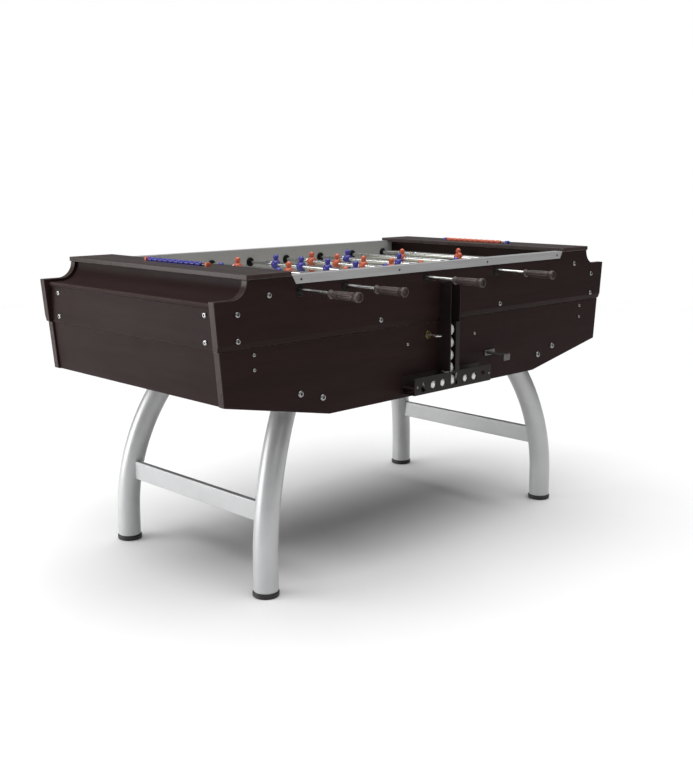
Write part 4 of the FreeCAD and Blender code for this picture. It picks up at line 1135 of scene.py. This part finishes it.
# %% The steel key in its brass plug
PLUG_STANDS_OUT = 1 * MM
ring_low, ring_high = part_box("lock_cylinder")
key = softened("key_with_plug", "lock_key", key_finish, "key_steel", 0.4 * MM, 2)
key.data.materials.append(brass_finish)
for face in key.data.polygons:
    if face.center.y > ring_low.y - PLUG_STANDS_OUT:
        face.material_index = 1

# %% The lock's brass ring
lock_point = Vector(joints["lock_turn"]["pos_m"])
lock_reach = (ring_high.x - ring_low.x) / 2
lock_bore = 7.1 * MM
collar = bmesh.new()
depth = ring_high.y - ring_low.y
front = lock_point.y - ring_low.y
profile = [(lock_bore, 0.4 * MM), (lock_bore + 0.7 * MM, 0), (lock_reach - 3.4 * MM, 0),
           (lock_reach - 2.8 * MM, 0.5 * MM), (lock_reach - 1.6 * MM, 0.4 * MM), (lock_reach, 1.8 * MM),
           (lock_reach, front), (lock_bore + 2 * MM, front), (lock_bore + 2 * MM, depth), (lock_bore, depth)]
start = Vector((lock_point.x, ring_low.y, lock_point.z))
turned(collar, eased(profile, 0.4 * MM, 2), aimed(start, Y), 56, bored=True)
fit("lock_ring", mesh_of(collar, "lock_ring"), brass_finish, "lock_brass", nodes["lock_cylinder"]["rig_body"],
    "lock_cylinder")

# %% [markdown]
# ## Hinges
# Three hinges at the back let the playing box tip up. The leaves and knuckles come from the frame, and each
# leaf gets its row of screws.

# %% Leaves with screws
SCREW_PITCH = 36 * MM


def leaf_screws(node, face_y, z):
    """A function that adds three screw heads to each leaf of a hinge."""
    centres = sorted({round((span(group)[0].x + span(group)[1].x) / 2, 4) for group in solids(node)})

    def add_screws(shape):
        for centre in centres:
            for offset in (-SCREW_PITCH, 0, SCREW_PITCH):
                place = aimed(Vector((centre + offset, face_y, z)), Y)
                bolt_head(shape, 4 * MM, 1.4 * MM, place, 4)
    return add_screws


HINGE_LEAF_T = 2 * MM
low_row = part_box("lid_hinge_lower")[0].z + 16 * MM
high_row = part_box("lid_hinge_upper")[1].z - 14 * MM
for name, node, board, row in (("hinge_leaves_low", "lid_hinge_lower", "lower_sides", low_row),
                               ("hinge_leaves_high", "lid_hinge_upper", "upper_sides", high_row)):
    face_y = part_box(board)[1].y + HINGE_LEAF_T
    softened(name, node, hinge_finish, "hinge_steel", 0.3 * MM, 2, leaf_screws(node, face_y, row))

# %% [markdown]
# ## One player
# The men are glossy moulded figures: an egg-shaped head on a short neck, a barrel of a body around the rod,
# and legs that run together into a square foot. They could be sculpted or modelled with subdivision. Here
# three simple forms are lofted and turned, merged with a Boolean, and drilled for the rod, which gives one
# clean closed shape to copy along the rods.

# %% Lofting by rings


def loft(shape, rings, steps=36):
    """Closed form through (height, half x, half y, shift x, squareness) rings."""
    loops = []
    for height, half_x, half_y, shift, square in rings:
        loop = []
        for step in range(steps):
            angle = FULL_TURN * step / steps
            c, s = math.cos(angle), math.sin(angle)
            x = math.copysign(abs(c) ** (2 / square), c) * half_x + shift
            y = math.copysign(abs(s) ** (2 / square), s) * half_y
            loop.append(shape.verts.new(Vector((x, y, height)) * MM))
        loops.append(loop)
    for low, high in zip(loops, loops[1:]):
        join_rings(shape, low, high)
    shape.faces.new(reversed(loops[0]))
    shape.faces.new(loops[-1])


# %% The three forms of a player
LEG_RINGS = [(-70.0, 9.6, 9.8, 0.0, 3.6), (-69.5, 10.9, 10.6, 0.0, 3.6), (-68.4, 11.7, 11.2, 0.0, 3.6),
             (-64.0, 12.0, 11.5, 0.0, 3.6), (-59.0, 11.8, 11.4, 0.0, 3.4), (-56.0, 10.4, 10.8, 0.0, 3.2),
             (-53.0, 8.2, 9.8, 0.0, 3.0), (-50.0, 6.8, 9.0, 0.0, 2.8), (-46.0, 6.1, 8.4, 0.0, 2.6),
             (-40.0, 6.3, 8.4, 0.2, 2.6), (-34.0, 7.0, 8.6, 0.2, 2.6), (-30.2, 7.3, 8.8, 0.0, 2.6),
             (-29.8, 8.6, 9.8, 0.0, 2.8), (-29.0, 9.2, 10.2, 0.0, 2.8), (-24.0, 9.8, 10.5, 0.0, 2.8),
             (-16.0, 10.8, 10.7, 0.0, 2.8), (-8.0, 11.0, 10.3, 0.0, 2.6), (-3.0, 10.0, 9.6, 0.0, 2.4)]
BARREL = [(0, -11), (8.0, -11), (9.4, -10.4), (12.2, -8.4), (14.0, -5.0), (14.5, 0), (14.0, 5.0),
          (12.2, 8.4), (9.4, 10.4), (8.0, 11), (0, 11)]
HEAD_MIDDLE, HEAD_TALL, HEAD_WIDE = 20.4, 10.0, 8.4
NECK_TOP = 14.5
HEAD_STEPS = 20


def head_outline(angle, number):
    """A hint of a nose and a brow on the side that the player faces."""
    front = max(0.0, math.cos(angle)) ** 6
    level = number / HEAD_STEPS
    nose = 0.14 * math.exp(-((level - 0.50) / 0.07) ** 2) * max(0.0, math.cos(angle)) ** 14
    return 1.0 + nose - 0.05 * front * math.exp(-((level - 0.42) / 0.06) ** 2)


def figure_parts():
    """Legs, barrel, head with neck, and the drill for the rod, as separate closed meshes."""
    legs, barrel, head, drill = (bmesh.new() for _ in range(4))
    loft(legs, LEG_RINGS)
    turned(barrel, eased([(r * MM, y * MM) for r, y in BARREL], 1.5 * MM, 2), aimed(Vector(), Y), 44)
    profile = [(0.0, (HEAD_MIDDLE + HEAD_TALL) * MM)]
    for step in range(1, HEAD_STEPS):
        angle = math.pi * step / HEAD_STEPS
        reach = HEAD_WIDE * math.sin(angle) * (1 + 0.06 * math.cos(angle))
        height = HEAD_MIDDLE + HEAD_TALL * math.cos(angle)
        if height < NECK_TOP:
            break
        profile.append((reach * MM, height * MM))
    profile += [(5.2 * MM, 12.8 * MM), (5.2 * MM, 11 * MM), (6.8 * MM, 7 * MM), (0.0, 7 * MM)]
    turned(head, profile, Matrix.Identity(4), 40, outline=head_outline)
    bore = [(0, -20 * MM), (ROD_RADIUS, -20 * MM), (ROD_RADIUS, 20 * MM), (0, 20 * MM)]
    turned(drill, bore, aimed(Vector(), Y), 48)
    return [mesh_of(part, name) for part, name in zip((legs, barrel, head, drill),
                                                      ("legs_form", "barrel_form", "head_form", "drill"))]


# %% Merge and drill with Booleans
def merged_figure():
    """One closed mesh of a player."""
    made = [bpy.data.objects.new(mesh.name, mesh) for mesh in figure_parts()]
    for thing in made:
        scene.collection.objects.link(thing)
    for thing, operation in zip(made[1:], ("UNION", "UNION", "DIFFERENCE")):
        step = made[0].modifiers.new(operation, "BOOLEAN")
        step.operation = operation
        step.solver = "EXACT"
        step.object = thing
    bpy.context.view_layer.update()
    ready = made[0].evaluated_get(bpy.context.evaluated_depsgraph_get())
    mesh = bpy.data.meshes.new_from_object(ready)
    for thing in made:
        bpy.data.objects.remove(thing)
    return mesh


player = merged_figure()
check = bmesh.new()
check.from_mesh(player)
print("player:", len(check.faces), "faces, open edges:", sum(not e.is_manifold for e in check.edges))
check.free()

# %% [markdown]
# ## Rods, grips and teams
# A telescopic rod is a thin steel core held by the far wall, and a chrome tube that carries the men and slides
# over it, so nothing ever sticks out on the other side. The frame says where each tube starts and stops and
# where its stop rings are. The grip is turned with eight flutes and flares into an eight-sided end.

# %% Where the stop rings are
ringed_low, ringed_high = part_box("rod_1_tube")
STOP_RADIUS = (ringed_high.x - ringed_low.x) / 2


def ring_spans(node, axis):
    """Start and stop along Y of each stop ring of a tube."""
    shape = welded(node, whole_faces=False)
    marks = sorted({round(vert.co.y, 5) for vert in shape.verts
                    if math.hypot(vert.co.x - axis.x, vert.co.z - axis.z) > STOP_RADIUS - 0.3 * MM})
    shape.free()
    return list(zip(marks[::2], marks[1::2]))


# %% Tube, core and grip
def round_bar(shape, radius, start, stop, x, z, chamfer):
    """A bar along Y with chamfered ends."""
    length = stop - start
    profile = [(0, 0), (radius - chamfer, 0), (radius, chamfer), (radius, length - chamfer),
               (radius - chamfer, length), (0, length)]
    turned(shape, profile, aimed(Vector((x, start, z)), Y), 36)


def stop_ring(shape, start, stop, x, z):
    """A collar with rounded lips, which hits the bearing."""
    length = stop - start
    inner = ROD_RADIUS - 0.1 * MM
    lip = 0.9 * MM
    profile = [(inner, 0), (STOP_RADIUS - lip, 0), (STOP_RADIUS, lip), (STOP_RADIUS, length - lip),
               (STOP_RADIUS - lip, length), (inner, length)]
    turned(shape, eased(profile, 0.5 * MM, 2), aimed(Vector((x, start, z)), Y), 40, bored=True)


GRIP_STATIONS = [  # along, radius, flute depth, how eight-sided
    (0.0, 6.8, 0.0, 0.0), (0.0, 10.0, 0.0, 0.0), (1.0, 10.9, 0.0, 0.3), (3.2, 11.2, 0.0, 0.6),
    (5.2, 10.7, 0.0, 0.4), (6.2, 8.8, 0.0, 0.0), (7.8, 7.7, 0.0, 0.0), (10.0, 7.7, 0.0, 0.0),
    (12.4, 8.7, 0.0, 0.0), (15.0, 9.2, 0.03, 0.0), (19.0, 9.6, 0.11, 0.0), (29.0, 9.8, 0.15, 0.0),
    (48.0, 10.1, 0.15, 0.0), (64.0, 10.2, 0.14, 0.0), (71.0, 10.1, 0.08, 0.0), (75.0, 9.9, 0.02, 0.2),
    (78.0, 10.1, 0.0, 0.5), (81.0, 11.2, 0.0, 0.9), (84.5, 12.3, 0.0, 1.0), (90.4, 12.8, 0.0, 1.0),
    (92.8, 12.5, 0.0, 1.0), (94.0, 11.6, 0.0, 1.0), (94.0, 9.6, 0.0, 0.9), (91.4, 8.7, 0.0, 0.5),
    (89.6, 8.0, 0.0, 0.0), (89.2, 0.0, 0.0, 0.0)]
FLUTES = 8


def grip_outline(angle, number):
    """Rounded flutes along the grip, and flats at its end."""
    _, _, flute, flats = GRIP_STATIONS[number]
    groove = (0.5 + 0.5 * math.cos(FLUTES * angle)) ** 3
    side = polygon(FLUTES, angle)
    return (1 - flute * groove) * (1 - flats + flats * side)


def grip_shape(place):
    """A grip along local Z from its collar to its flared end."""
    shape = bmesh.new()
    profile = [(radius * MM, along * MM) for along, radius, _, _ in GRIP_STATIONS]
    turned(shape, profile, place, 96, outline=grip_outline)
    edge = [e for e in shape.edges if e.is_boundary]
    bmesh.ops.holes_fill(shape, edges=edge, sides=0)
    return shape


# %% The pieces of one rod
CHAMFER = 0.8 * MM
SOLID_END = 90 * MM                       # the tube isn't bored near its handle


def core_mesh(name, axis):
    """The thin inner bar that the far wall holds."""
    shape = bmesh.new()
    low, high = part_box(name + "inner")
    round_bar(shape, CORE_RADIUS, low.y, high.y, axis.x, axis.z, CHAMFER)
    return mesh_of(shape, name + "core")


def tube_mesh(name, axis, side):
    """The chrome tube, bored from its free end, with its stop rings."""
    shape = bmesh.new()
    low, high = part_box(name + "tube")
    free = low.y if side > 0 else high.y
    length = high.y - low.y
    bore, bore_end = CORE_RADIUS + RUNNING, length - SOLID_END
    profile = [(0, bore_end), (bore, bore_end), (bore, 0.6 * MM), (CORE_RADIUS + 0.7 * MM, 0),
               (ROD_RADIUS - 0.5 * MM, 0), (ROD_RADIUS, 0.5 * MM), (ROD_RADIUS, length - 1 * MM),
               (ROD_RADIUS - 1 * MM, length), (0, length)]
    turned(shape, profile, aimed(Vector((axis.x, free, axis.z)), Y * side), 36)
    for start, stop in ring_spans(name + "tube", axis):
        stop_ring(shape, start, stop, axis.x, axis.z)
    return mesh_of(shape, name + "chrome")


def team_mesh(name, axis, side):
    """A copy of the player at each man's place on the rod, facing the other goal."""
    shape = bmesh.new()
    for group in solids(name + "men"):
        low, high = span(group)
        copy = player.copy()
        copy.transform(Matrix.Translation(Vector((axis.x, (low.y + high.y) / 2, axis.z)))
                       @ Matrix.Rotation(0 if side < 0 else math.pi, 4, "Z"))
        shape.from_mesh(copy)
        bpy.data.meshes.remove(copy)
    return mesh_of(shape, name + "players", 40)


# %% Build the eight rods
TEAM_FRONT, TEAM_BACK = (blue_figure, "blue_figure"), (orange_figure, "orange_figure")
for number in range(1, 9):
    name = f"rod_{number}_"
    axis = Vector(joints[name + "spin"]["pos_m"])
    grip_low, grip_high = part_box(name + "handle")
    side = math.copysign(1, grip_low.y)
    spun, slid = nodes[name + "inner"]["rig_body"], nodes[name + "tube"]["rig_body"]
    fit(name + "core", core_mesh(name, axis), rod_finish, "steel_rod", spun, name + "inner")
    fit(name + "chrome", tube_mesh(name, axis, side), chrome_finish, "chrome_tube", slid, name + "tube")
    collar = Vector((axis.x, grip_low.y if side > 0 else grip_high.y, axis.z))
    grip = mesh_of(grip_shape(aimed(collar, Y * side)), name + "grip", 40)
    fit(name + "grip", grip, grip_finish, "grip_plastic", slid, name + "handle")
    finish, slot = TEAM_FRONT if side < 0 else TEAM_BACK
    fit(name + "players", team_mesh(name, axis, side), finish, slot, slid, name + "men")
print("eight rods carry", sum(len(solids(f"rod_{n}_men")) for n in range(1, 9)), "players")

# %% [markdown]
# ## The floor
# The table stands on a plain pale floor, which only has to catch the shadow. It is a wide disc, a little
# rough, with a faint cloudiness so that it isn't perfectly even.

# %% Floor disc
FLOOR_RADIUS = 6.0
floor_shape = bmesh.new()
bmesh.ops.create_circle(floor_shape, cap_ends=True, segments=96, radius=FLOOR_RADIUS)
floor_mesh = bpy.data.meshes.new("floor")
floor_shape.to_mesh(floor_mesh)
floor_shape.free()
floor_finish, floor_tree, floor_shader = new_finish("studio_floor", 0.6, Specular_IOR_Level=0.2)
cloudy = effect(floor_tree, handling, Size=1.5)["Mask"]
floor_colour = mix(floor_tree, cloudy, (0.80, 0.80, 0.80), (0.82, 0.82, 0.82))
put(floor_tree, floor_shader.inputs["Base Color"], floor_colour)
floor_mesh.materials.append(floor_finish)
floor = bpy.data.objects.new("floor", floor_mesh)
scene.collection.objects.link(floor)
